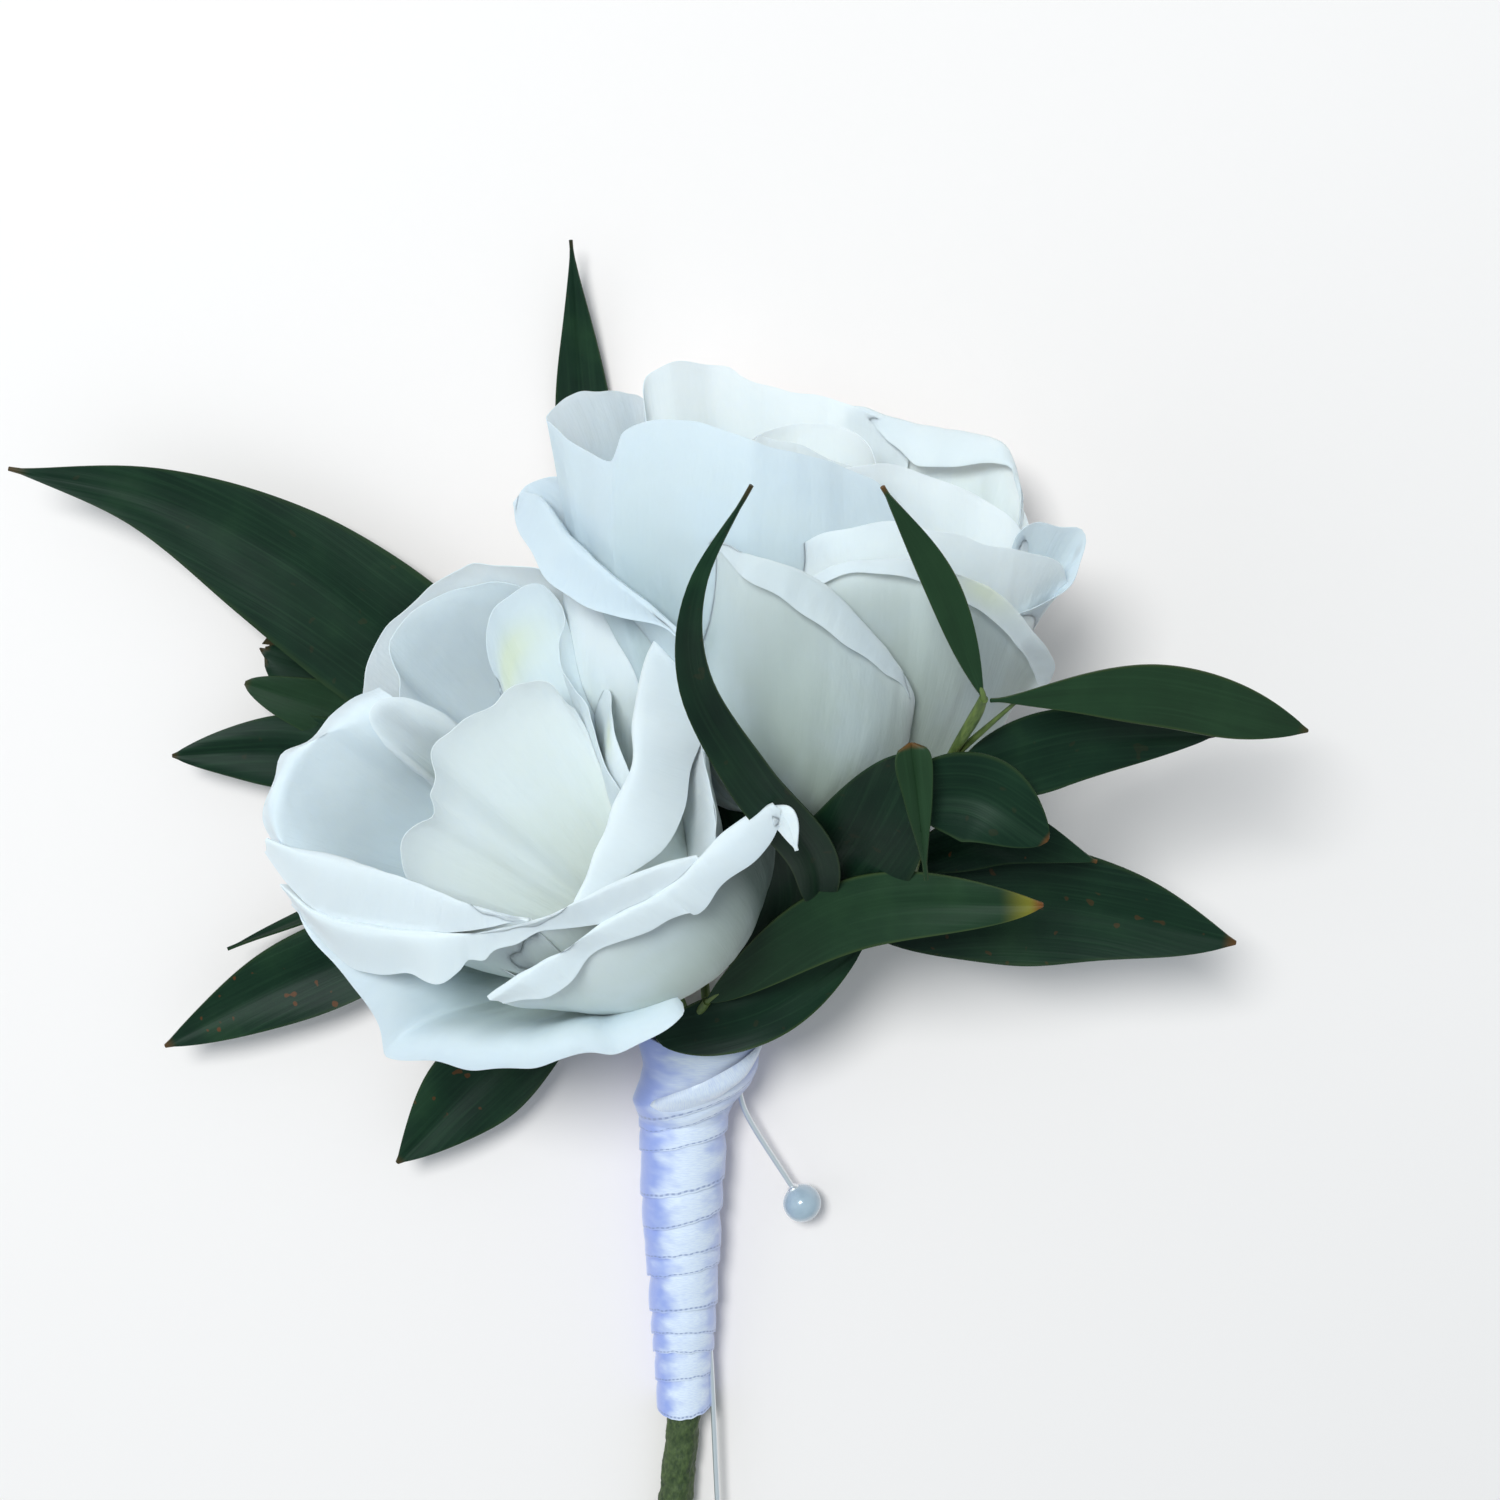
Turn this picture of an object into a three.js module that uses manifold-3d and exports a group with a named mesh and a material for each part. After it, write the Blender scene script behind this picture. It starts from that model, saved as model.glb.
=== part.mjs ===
// A double boutonniere lying on its back: two white roses, sprigs of long dark leaves, a stem bundle
// in green tape under a handle of wound satin ribbon, and two pearl-headed pins.
// Millimetres. +Z is up, +Y runs from the handle to the blooms, and the origin is a point on the flat
// back of the handle, just below its upper end.
import * as THREE from 'three';
import { mergeVertices } from 'three/addons/utils/BufferGeometryUtils.js';
import Module from 'manifold-3d';

const wasm = await Module();
wasm.setup();

// Driving dimensions
const PETAL_THICK = 0.8;
const LEAF_THICK = 0.7;
const GAP = 0.3;
const PETAL_FOOT = 0.9;
const ROSE_STEM_RADIUS = 1.3;
const SPRIG_STEM_RADIUS = 0.6;
const STEM_DEPTH = 4.2;
const PIN_RADIUS = 0.35;
const PEARL_RADIUS = 2.4;
const PEARL_HOLE_DEPTH = 2.6;

// The handle along Y: outer radius of the ribbon, its middle in X, and the taped bundle inside it
const HANDLE = [
  { y: 1.2, ribbon: 7.3, middle: 0.3, bundle: 5.4, inner: 0.3 },
  { y: -3, ribbon: 6.9, middle: 0.3, bundle: 5.4, inner: 0.1 },
  { y: -5.2, ribbon: 6.6, middle: -0.2, bundle: 5.2, inner: -0.3 },
  { y: -7.6, ribbon: 6.0, middle: -1.6, bundle: 4.2, inner: -1.2 },
  { y: -10, ribbon: 5.2, middle: -1.7, bundle: 3.7, inner: -1.6 },
  { y: -21, ribbon: 4.8, middle: -2.0, bundle: 3.5, inner: -1.9 },
  { y: -27, ribbon: 4.4, middle: -1.9, bundle: 3.2, inner: -1.9 },
  { y: -36, ribbon: 3.9, middle: -1.9, bundle: 2.7, inner: -1.9 },
  { y: -44, ribbon: 3.3, middle: -1.9, bundle: 2.3, inner: -1.9 },
  { y: -50, ribbon: 3.1, middle: -1.8, bundle: 2.2, inner: -1.8 },
  { y: -60, ribbon: 2.7, middle: -2.8, bundle: 2.2, inner: -2.8 },
  { y: -72, ribbon: 2.6, middle: -3.9, bundle: 2.2, inner: -3.9 },
];
const RIBBON_TOP = 1.2;
const RIBBON_END = -50;
const BUNDLE_TOP = 0.4;
const BUNDLE_END = -72;
const BARE_RINGS = 8;
const BACK_CUT = 0.35;
const RIBBON_STEP = 0.4;
const SEAM_TILT = 1.6;
const SEAMS = [-7.5, -11, -14.5, -18.5, -22.5, -26, -29.5, -33.5, -37.5, -41.5, -45.5];
const HANDLE_SIDES = 16;

// Where each stem stands in the top of the bundle: offsets in X and Z from the bundle's middle
const SOCKETS = {
  roseLeft: [-1.8, 0],
  roseRight: [1.8, 0],
  front: [-2.0, 3.46],
  centre: [0, 4.0],
  right: [2.0, 3.46],
  lowerLeft: [-2.83, -2.83],
  left: [-1.04, -3.86],
  top: [1.04, -3.86],
  lowRight: [2.83, -2.83],
};

// A petal is a strip that leaves the rose's base, swells by `belly` and ends at its rim. `span` gives
// the angles of its two sides round the bloom in degrees; `rim` and `height` are the rim's distance
// from the axis and along it, and `lip` its slope there (90 upright, 0 outwards, below 0 hanging), each
// at the first side, the middle and the second side; `fall` is how long the lip is.
const LEFT_ROSE = {
  name: 'rose_left',
  base: [-10, 18.5, 15],
  axis: [-0.35, 0.49, 0.81],
  socket: 'roseLeft',
  hip: 5,
  stem: [[-6.2, 13.2, 7.8], [-3.4, 7, 6.8]],
  petals: [
    {
      span: [62, 196], rim: [16.5, 10.8, 12.6], height: [31, 32, 30],
      lip: [75, 78, 72], belly: 2, foot: 2,
    },
    {
      span: [20, 60], rim: [14.5, 14, 15], height: [31, 32, 31],
      lip: [85, 90, 85], belly: 4, foot: 2.5,
    },
    {
      span: [28, 74], rim: [17.5, 18, 19.5], height: [31, 32, 31],
      lip: [85, 90, 85], belly: 8, foot: 3,
    },
    {
      span: [-44, 44], rim: [16, 23, 26], height: [26.5, 27, 29],
      lip: [-30, -35, -5], belly: 6, fall: 17,
    },
    {
      span: [50, 112], rim: [25, 25.5, 26.5], height: [30.5, 31.5, 30],
      lip: [88, 85, 85], belly: [11, 16, 17],
    },
    { span: [122, 162], rim: [24.5, 24, 24], height: [30.5, 30.5, 28], lip: [80, 85, 85], belly: 16 },
    { span: [138, 200], rim: [31, 31.5, 26.5], height: [30, 31, 29], lip: [75, 60, 30], belly: 20 },
    {
      span: [74, 138], rim: [27, 31.5, 27], height: [30.5, 32.5, 31],
      lip: [85, 72, 75], belly: [15, 20, 20],
    },
    {
      span: [176, 262], rim: [29.5, 24.5, 19], height: [28, 26, 27],
      lip: [20, -45, -50], belly: 18, fall: 12,
    },
    {
      span: [236, 345], rim: [20, 17.5, 25], height: [27, 29, 27.5],
      lip: [-30, -20, -10], belly: [18, 20, 18], fall: 7,
    },
    {
      span: [262, 364], rim: [19.5, 19.5, 31], height: [24, 25.5, 27],
      lip: [-20, -30, -50], belly: [22, 24, 22], fall: 7,
    },
    {
      span: [222, 314], rim: [29.5, 23.6, 25], height: [16, 17.5, 18],
      lip: [-30, -20, -20], belly: 17, fall: 10,
    },
  ],
};

const RIGHT_ROSE = {
  name: 'rose_right',
  base: [13, 31.6, 17.2],
  axis: [0, 0.97, 0.243],
  socket: 'roseRight',
  hip: 6,
  stem: [[12.4, 21.6, 13.6], [8, 10.5, 9.8]],
  petals: [
    { span: [40, 170], rim: [10, 12, 12], height: [44, 45, 45], lip: [85, 85, 85], belly: 5, foot: 2 },
    { span: [165, 300], rim: [9, 9, 10], height: [44, 45, 43], lip: [95, 95, 95], belly: 5, foot: 2 },
    {
      span: [290, 410], rim: [13, 14, 11], height: [42, 42, 43],
      lip: [90, 85, 85], belly: 8, foot: 2.5,
    },
    { span: [350, 430], rim: [24, 20, 18], height: [41.5, 43.5, 46], lip: [70, 80, 80], belly: 14 },
    { span: [66, 138], rim: [17, 25, 25], height: [46, 48, 46.5], lip: [85, 80, 75], belly: 16 },
    { span: [140, 188], rim: [25, 30.5, 27], height: [45.5, 45, 44], lip: [80, 60, 80], belly: 18 },
    { span: [286, 350], rim: [16, 17, 25], height: [43, 41.5, 40], lip: [95, 90, 80], belly: 17 },
    {
      span: [188, 290], rim: [25, 13, 18], height: [43.5, 46.5, 43],
      lip: [85, 122, 105], belly: [5, 16, 22], fall: 16,
    },
    { span: [280, 346], rim: [20, 21, 29.5], height: [40, 38.5, 33], lip: [95, 90, 40], belly: 21 },
    { span: [322, 368], rim: [28, 30.5, 27], height: [31, 36, 36], lip: [40, 50, 70], belly: 18 },
    { span: [8, 96], rim: [25, 25, 24], height: [37, 40, 40], lip: [70, 75, 85], belly: 20.4 },
    { span: [88, 168], rim: [24, 24, 27], height: [40, 41, 39], lip: [85, 80, 75], belly: 20.4 },
    {
      span: [276, 336], rim: [25, 27.5, 31], height: [39, 35, 24],
      lip: [95, 75, -10], belly: 22, fall: 9,
    },
    {
      span: [212, 294], rim: [22, 24.5, 30], height: [34, 37, 26],
      lip: [75, 60, -30], belly: [8, 18, 22], fall: 9,
    },
    {
      span: [158, 240], rim: [29.5, 28.5, 26], height: [37, 33, 34],
      lip: [60, -5, 10], belly: [14, 6, 6], fall: 12,
    },
  ],
};

const PETAL_ROWS = 5;
const PETAL_COLUMN = 22;

// Sprigs: a stem from its socket through `route` to the first leaf, and a short stalk from a point of
// the route to every other leaf. `wide` is a leaf's full width, `peak` how far along it is widest,
// `blunt` below 1 rounds its ends, `fold` lifts its two margins and `roll` tips it about its midrib.
const SPRIGS = [
  {
    name: 'sprig_left', socket: 'left',
    route: [[-9, 11, 2.2], [-17, 23, 2.4], [-21, 31, 2.8]],
    leaves: [
      { line: [[-23.4, 38.7, 3.3], [-51.8, 60.5, 7], [-80.5, 70.6, 11]], wide: 17.6, peak: 0.3, blunt: 1.3 },
      { line: [[-31.4, 34.8, 3.2], [-44, 43.5, 0.38], [-54.5, 49.7, 3]], wide: 5.6, from: 2 },
      { line: [[-30.2, 32.6, 3.4], [-44.4, 41, 4.4], [-54.8, 45, 6]], wide: 5.2, from: 2 },
      { line: [[-30.3, 30.5, 3], [-49.4, 35.6, 5], [-63.5, 35.8, 7]], wide: 7.4, from: 1 },
    ],
  },
  {
    name: 'sprig_lower_left', socket: 'lowerLeft',
    route: [[-7, 5.6, 3], [-17, 10.5, 3.2]],
    leaves: [
      { line: [[-27, 16.8, 4], [-48.8, 8.5, 6], [-65.5, -0.3, 8]], wide: 8.8, peak: 0.45 },
      { line: [[-32.8, 22.5, 4.4], [-46.3, 16.4, 6], [-57.4, 12.1, 8]], wide: 3, roll: 60, from: 1 },
      { line: [[-14, 5.6, 4], [-27, -4.5, 5.4], [-37.4, -15.6, 7]], wide: 9.6, peak: 0.5, from: 0 },
    ],
  },
  {
    name: 'sprig_top', socket: 'top',
    route: [[0, 12, 1.6], [-5, 26, 1.4], [-9, 38, 1.6]],
    leaves: [
      { line: [[-11.7, 47, 1.6], [-13.4, 74.9, 0.6], [-14.6, 97.2, 5]], wide: 7.6, peak: 0.4, blunt: 1.15 },
    ],
  },
  {
    name: 'sprig_centre', socket: 'centre',
    route: [[3, 7, 14.5], [8, 14, 22]],
    leaves: [
      {
        line: [
          [15, 23.4, 31.5], [13.2, 30.4, 40], [6.6, 40.6, 51.5], [1.2, 52, 61], [1.6, 62, 69], [6.7, 71.6, 73],
        ],
        wide: 5.8, peak: 0.35,
      },
      { line: [[11, 19.5, 24.5], [11, 26.5, 32], [9.4, 33, 37]], wide: 4, from: 1 },
      { line: [[13.4, 20.5, 22], [18.9, 32, 38.5], [22.9, 43.9, 49.5]], wide: 9.6, blunt: 0.8, from: 1 },
    ],
  },
  {
    name: 'sprig_right', socket: 'right',
    route: [[6.5, 5, 12.5], [16, 12, 17], [24, 23, 28], [26.2, 35, 41], [27, 41.5, 48]],
    leaves: [
      { line: [[30.2, 49.3, 54.5], [25.3, 61.3, 60], [19.2, 71.1, 66]], wide: 3.1, peak: 0.45 },
      { line: [[31, 49.1, 54.5], [48.4, 48.2, 46], [67.4, 43.2, 36]], wide: 5.8, peak: 0.55, from: 4 },
      { line: [[27.5, 39.4, 46.5], [39.9, 42.6, 43], [57.7, 42.4, 34]], wide: 7.7, from: 3 },
      { line: [[24, 35.5, 46], [30, 37, 48], [37.8, 33.3, 48]], wide: 9.2, blunt: 0.7, from: 3 },
    ],
  },
  {
    name: 'sprig_low_right', socket: 'lowRight',
    route: [[6.4, 6.6, 6.6], [13, 12, 12]],
    leaves: [
      { line: [[20, 18, 17], [40, 20.6, 22], [62.8, 16.6, 24]], wide: 12.4, peak: 0.45, blunt: 0.9 },
      { line: [[24, 26, 24], [35.5, 30, 28], [45.9, 27, 28]], wide: 6.8, from: 1 },
    ],
  },
  {
    name: 'sprig_front', socket: 'front',
    route: [[-1, 4, 15.5]],
    leaves: [
      { line: [[1.5, 8.4, 19.5], [19, 20, 33], [38.4, 24.5, 40]], wide: 7.6, peak: 0.5 },
      { line: [[-4.6, 3.6, 18], [8.4, 7.3, 19], [19.6, 15.9, 23]], wide: 7.2, blunt: 0.7, from: 0 },
    ],
  },
];
const LEAF_ROWS = 6;
const LEAF_END = 0.4;
const STALK_RADIUS = 0.45;

const PINS = [
  { name: 'pin_upper', pearl: [13.2, -22.2, 3], path: [[6, -9.8, 4], [5.2, -6.5, 4.6], [4.6, -1.6, 5.4]] },
  { name: 'pin_lower', pearl: [3.2, -76, 3], path: [[2.4, -62, 3.4], [1.5, -41, 4], [0.2, -24, 4.5]] },
];

const MATERIALS = {
  petal: new THREE.MeshStandardMaterial({ color: '#eef0f4', roughness: 0.55 }),
  leaf: new THREE.MeshStandardMaterial({ color: '#17352a', roughness: 0.4 }),
  stem: new THREE.MeshStandardMaterial({ color: '#6d8a3c', roughness: 0.6 }),
  tape: new THREE.MeshStandardMaterial({ color: '#5d6f2e', roughness: 0.8 }),
  ribbon: new THREE.MeshStandardMaterial({ color: '#dcdcf2', roughness: 0.3 }),
  steel: new THREE.MeshStandardMaterial({ color: '#c9cbce', roughness: 0.2, metalness: 1 }),
  pearl: new THREE.MeshStandardMaterial({ color: '#dfe0e0', roughness: 0.2 }),
};

const Z_AXIS = new THREE.Vector3(0, 0, 1);
const vector = (point) => new THREE.Vector3(...point);
const radians = THREE.MathUtils.degToRad;
const ease = (x) => THREE.MathUtils.smoothstep(x, 0, 1);

// Solids from geometries, and meshes from solids
function solidFrom(geometry) {
  geometry.deleteAttribute('normal');
  geometry.deleteAttribute('uv');
  const merged = mergeVertices(geometry, 1e-4);
  const vertProperties = merged.attributes.position.array;
  const triVerts = new Uint32Array(merged.index.array);
  const solid = new wasm.Manifold(new wasm.Mesh({ numProp: 3, vertProperties, triVerts }));
  if (solid.volume() > 0) return solid;
  triVerts.reverse();
  return new wasm.Manifold(new wasm.Mesh({ numProp: 3, vertProperties, triVerts }));
}

// The largest body of a solid: hollows that the joining seals are filled
function wholeBody(solid) {
  return solid.decompose().reduce((best, body) => (body.volume() > best.volume() ? body : best));
}

function meshFrom(name, solid, material) {
  const { vertProperties, triVerts } = solid.getMesh();
  const geometry = new THREE.BufferGeometry();
  geometry.setAttribute('position', new THREE.BufferAttribute(vertProperties, 3));
  geometry.setIndex(new THREE.BufferAttribute(triVerts, 1));
  geometry.computeVertexNormals();
  const mesh = new THREE.Mesh(geometry, material);
  mesh.name = name;
  return mesh;
}

function indexed(points, index) {
  const geometry = new THREE.BufferGeometry().setFromPoints(points);
  geometry.setIndex(index);
  return geometry;
}

// A blade of even thickness about a surface: `surface(u, v)` with u from 0 to 1 and v from -1 to 1
function blade(surface, rows, columns, thick) {
  const corner = (i, j) => i * (columns + 1) + j;
  const middle = [];
  const normals = [];
  const step = 0.01;
  for (let i = 0; i <= rows; i++) {
    for (let j = 0; j <= columns; j++) {
      const u = i / rows;
      const v = (2 * j) / columns - 1;
      const up = Math.min(u + step, 1);
      const down = Math.max(u - step, 0);
      const right = Math.min(v + step, 1);
      const left = Math.max(v - step, -1);
      const along = surface(up, v).sub(surface(down, v));
      const across = surface(u, right).sub(surface(u, left));
      middle.push(surface(u, v));
      normals.push(along.cross(across).normalize());
    }
  }
  const face = (side) => middle.map((p, n) => p.clone().addScaledVector(normals[n], (side * thick) / 2));
  const other = middle.length;
  const index = [];
  for (let i = 0; i < rows; i++) {
    for (let j = 0; j < columns; j++) {
      const [a, b, c, d] = [corner(i, j), corner(i + 1, j), corner(i + 1, j + 1), corner(i, j + 1)];
      index.push(a, b, c, a, c, d);
      index.push(other + a, other + c, other + b, other + a, other + d, other + c);
    }
  }
  const border = [];
  for (let i = 0; i < rows; i++) border.push(corner(i, 0));
  for (let j = 0; j < columns; j++) border.push(corner(rows, j));
  for (let i = rows; i > 0; i--) border.push(corner(i, columns));
  for (let j = columns; j > 0; j--) border.push(corner(0, j));
  border.forEach((p, n) => {
    const q = border[(n + 1) % border.length];
    index.push(q, p, other + p, q, other + p, other + q);
  });
  return solidFrom(indexed([...face(1), ...face(-1)], index));
}

// A round tube with closed ends along a smooth curve through the points
function tube(points, radius, sides, steps) {
  const path = new THREE.CatmullRomCurve3(points.map(vector), false, 'centripetal');
  const corners = [];
  for (let n = 0; n < sides; n++) {
    const angle = (2 * Math.PI * n) / sides;
    corners.push(new THREE.Vector2(radius * Math.cos(angle), radius * Math.sin(angle)));
  }
  const options = { steps, bevelEnabled: false, extrudePath: path };
  return solidFrom(new THREE.ExtrudeGeometry(new THREE.Shape(corners), options));
}

// A closed body from rings of points, each ring a cross-section of the handle
function lofted(rings) {
  const sides = rings[0].length;
  const points = rings.flat();
  const index = [];
  for (let i = 0; i + 1 < rings.length; i++) {
    for (let n = 0; n < sides; n++) {
      const next = (n + 1) % sides;
      const [a, b] = [i * sides + n, i * sides + next];
      index.push(a, b, b + sides, a, b + sides, a + sides);
    }
  }
  const last = (rings.length - 1) * sides;
  for (let n = 1; n + 1 < sides; n++) {
    index.push(0, n + 1, n);
    index.push(last, last + n, last + n + 1);
  }
  return solidFrom(indexed(points, index));
}

// Handle
function handleAt(y) {
  const found = HANDLE.findIndex((row) => row.y <= y);
  const low = found < 0 ? HANDLE.length - 1 : Math.max(found, 1);
  const [above, below] = [HANDLE[low - 1], HANDLE[low]];
  const share = THREE.MathUtils.clamp((above.y - y) / (above.y - below.y), 0, 1);
  const value = (key) => THREE.MathUtils.lerp(above[key], below[key], share);
  const ribbon = value('ribbon');
  return {
    ribbon, middle: value('middle'), bundle: value('bundle'), inner: value('inner'),
    height: Math.max(ribbon - BACK_CUT, value('bundle')),
  };
}

function ringAt(radiusAt, centreAt, y, tilt = 0) {
  const ring = [];
  for (let n = 0; n < HANDLE_SIDES; n++) {
    const angle = (2 * Math.PI * (n + 0.5)) / HANDLE_SIDES;
    const here = y + tilt * Math.cos(angle);
    const radius = radiusAt(here, angle);
    const x = centreAt(here) + radius * Math.cos(angle);
    ring.push(new THREE.Vector3(x, here, handleAt(here).height + radius * Math.sin(angle)));
  }
  return ring;
}

function onBack(ring) {
  ring.forEach((p) => (p.z = Math.max(p.z, 0)));
  return ring;
}

function ribbonWrap() {
  const middle = (y) => handleAt(y).middle;
  const plain = (y) => handleAt(y).ribbon;
  const rings = [onBack(ringAt(plain, middle, RIBBON_TOP)), onBack(ringAt(plain, middle, -3))];
  for (const seam of SEAMS) {
    rings.push(onBack(ringAt((y) => plain(y) + RIBBON_STEP / 2, middle, seam, SEAM_TILT)));
    rings.push(onBack(ringAt((y) => plain(y) - RIBBON_STEP / 2, middle, seam - 0.5, SEAM_TILT)));
  }
  rings.push(onBack(ringAt(plain, middle, RIBBON_END)));
  const inner = (y) => handleAt(y).inner;
  const bore = (y) => handleAt(y).bundle + GAP;
  const knots = HANDLE.map((row) => row.y).filter((y) => y > RIBBON_END);
  const depths = [RIBBON_TOP + 2, ...knots, RIBBON_END - 2];
  const hollow = lofted(depths.map((y) => ringAt(bore, inner, y)));
  return cutByPins(lofted(rings).subtract(hollow));
}

function tapedStem() {
  const inner = (y) => handleAt(y).inner;
  const crinkled = (y, angle) => {
    const bare = y < RIBBON_END - 1 ? 0.12 : 0;
    return handleAt(y).bundle - bare * (1 + Math.sin(2.6 * y + 2 * angle));
  };
  const depths = [BUNDLE_TOP, ...HANDLE.slice(1, 10).map((row) => row.y)];
  for (let n = 0; n < BARE_RINGS; n++) {
    depths.push(THREE.MathUtils.lerp(RIBBON_END - 2.5, BUNDLE_END, n / (BARE_RINGS - 1)));
  }
  let solid = lofted(depths.map((y) => onBack(ringAt(crinkled, inner, y))));
  for (const name of Object.keys(SOCKETS)) {
    const radius = (name.startsWith('rose') ? ROSE_STEM_RADIUS : SPRIG_STEM_RADIUS) + GAP;
    const [x, z] = socketAt(name);
    const deep = BUNDLE_TOP - STEM_DEPTH - GAP;
    solid = solid.subtract(tube([[x, deep, z], [x, BUNDLE_TOP + 2, z]], radius, 8, 1));
  }
  return cutByPins(solid);
}

function socketAt(name) {
  const [dx, dz] = SOCKETS[name];
  const top = handleAt(BUNDLE_TOP);
  return [top.inner + dx, top.height + dz];
}

// The straight end of a stem that stands in its socket, and where it leaves the bundle
function rootedPoints(name) {
  const [x, z] = socketAt(name);
  return [[x, BUNDLE_TOP - STEM_DEPTH, z], [x, BUNDLE_TOP - STEM_DEPTH / 2, z], [x, BUNDLE_TOP + 1, z]];
}

// Pins: a steel shaft that starts in a blind hole of its pearl
function pinPoints({ pearl, path }) {
  const centre = vector(pearl);
  const away = vector(path[0]).sub(centre).normalize();
  const seat = centre.clone().addScaledVector(away, PEARL_RADIUS - PEARL_HOLE_DEPTH + GAP);
  return { seat: seat.toArray(), away, points: [seat.toArray(), ...path] };
}

function cutByPins(solid) {
  return PINS.reduce((rest, pin) => {
    const last = vector(pin.path.at(-1));
    const before = vector(pin.path.at(-2));
    const beyond = last.clone().addScaledVector(last.clone().sub(before).normalize(), GAP);
    return rest.subtract(tube([...pin.path.slice(0, -1), beyond.toArray()], PIN_RADIUS + GAP, 8, 12));
  }, solid);
}

function pinMeshes(pin) {
  const { away, points } = pinPoints(pin);
  const shaft = tube(points, PIN_RADIUS, 6, 12);
  const ball = new THREE.SphereGeometry(PEARL_RADIUS, 12, 9).translate(...pin.pearl);
  const mouth = vector(pin.pearl).addScaledVector(away, PEARL_RADIUS + 1);
  const bottom = vector(pin.pearl).addScaledVector(away, PEARL_RADIUS - PEARL_HOLE_DEPTH);
  const hole = tube([bottom.toArray(), mouth.toArray()], PIN_RADIUS + GAP, 8, 1);
  return [
    meshFrom(pin.name + '_shaft', shaft, MATERIALS.steel),
    meshFrom(pin.name + '_pearl', solidFrom(ball).subtract(hole), MATERIALS.pearl),
  ];
}

// Leaves
function leafSurface({ line, wide, peak = 0.4, blunt = 1, fold = 0.12, roll = 0 }) {
  const rib = new THREE.CatmullRomCurve3(line.map(vector), false, 'centripetal');
  const shift = Math.log(0.5) / Math.log(peak);
  return (u, v) => {
    const along = rib.getTangent(u);
    const side = Z_AXIS.clone().cross(along).normalize().applyAxisAngle(along, radians(roll));
    const lift = along.clone().cross(side);
    const half = Math.max((wide / 2) * Math.sin(Math.PI * u ** shift) ** blunt, LEAF_END / 2);
    const point = rib.getPoint(u).addScaledVector(side, half * v);
    return point.addScaledVector(lift, fold * half * Math.abs(v));
  };
}

function sprig({ name, socket, route, leaves }) {
  const roots = rootedPoints(socket);
  let solid = tube([...roots, ...route, leaves[0].line[0]], SPRIG_STEM_RADIUS, 6, 2 * route.length + 4);
  for (const leaf of leaves) {
    const surface = leafSurface(leaf);
    solid = solid.add(blade(surface, LEAF_ROWS, 2, LEAF_THICK));
    const inside = surface(0.12, 0).toArray();
    const start = leaf.from === undefined ? route.at(-1) : route[leaf.from];
    solid = solid.add(tube([start, leaf.line[0], inside], STALK_RADIUS, 4, 3));
  }
  return meshFrom(name, solid, MATERIALS.leaf);
}

// Roses
function bezier(points, t) {
  if (points.length === 1) return points[0];
  return bezier(points.slice(1).map((p, n) => points[n].clone().lerp(p, t)), t);
}

function petalSurface({ span, rim, height, lip, belly, foot = 4, fall = 10 }) {
  const [first, second] = span;
  const across = ([a, b, c], v) => b + ((c - a) / 2) * v + ((a + c) / 2 - b) * v * v;
  const bellies = Array.isArray(belly) ? belly : [belly, belly, belly];
  return (u, v) => {
    const slope = radians(across(lip, v));
    const end = new THREE.Vector2(across(rim, v), across(height, v));
    const before = end.clone().sub(new THREE.Vector2(Math.cos(slope), Math.sin(slope)).multiplyScalar(fall));
    const swell = across(bellies, v);
    const start = new THREE.Vector2(foot, PETAL_FOOT);
    const low = new THREE.Vector2(foot + 0.8 * swell, PETAL_FOOT);
    const waist = new THREE.Vector2(foot + swell, 0.45 * end.y);
    const { x, y } = bezier([start, low, waist, before, end], u);
    const spread = 0.35 + 0.65 * ease(u / 0.6);
    const turn = radians((first + second) / 2 + ((second - first) / 2) * v * spread);
    return new THREE.Vector3(x * Math.cos(turn), x * Math.sin(turn), y);
  };
}

function roseFrame({ base, axis }) {
  const up = vector(axis).normalize();
  const right = new THREE.Vector3(1, 0, 0).addScaledVector(up, -up.x).normalize();
  const back = up.clone().cross(right);
  const group = new THREE.Group();
  group.quaternion.setFromRotationMatrix(new THREE.Matrix4().makeBasis(right, back, up));
  group.position.set(...base);
  group.updateMatrixWorld();
  return group;
}

function roseHead({ petals }) {
  const profile = [[0, 0], [4, 0], [4.6, 1.5], [3.4, 3.6], [0, 4.6]];
  const core = new THREE.LatheGeometry(profile.map((p) => new THREE.Vector2(...p)), 12).rotateX(Math.PI / 2);
  return wholeBody(petals.reduce((solid, petal) => {
    const columns = Math.ceil((petal.span[1] - petal.span[0]) / PETAL_COLUMN);
    return solid.add(blade(petalSurface(petal), PETAL_ROWS, columns, PETAL_THICK));
  }, solidFrom(core)));
}

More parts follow.
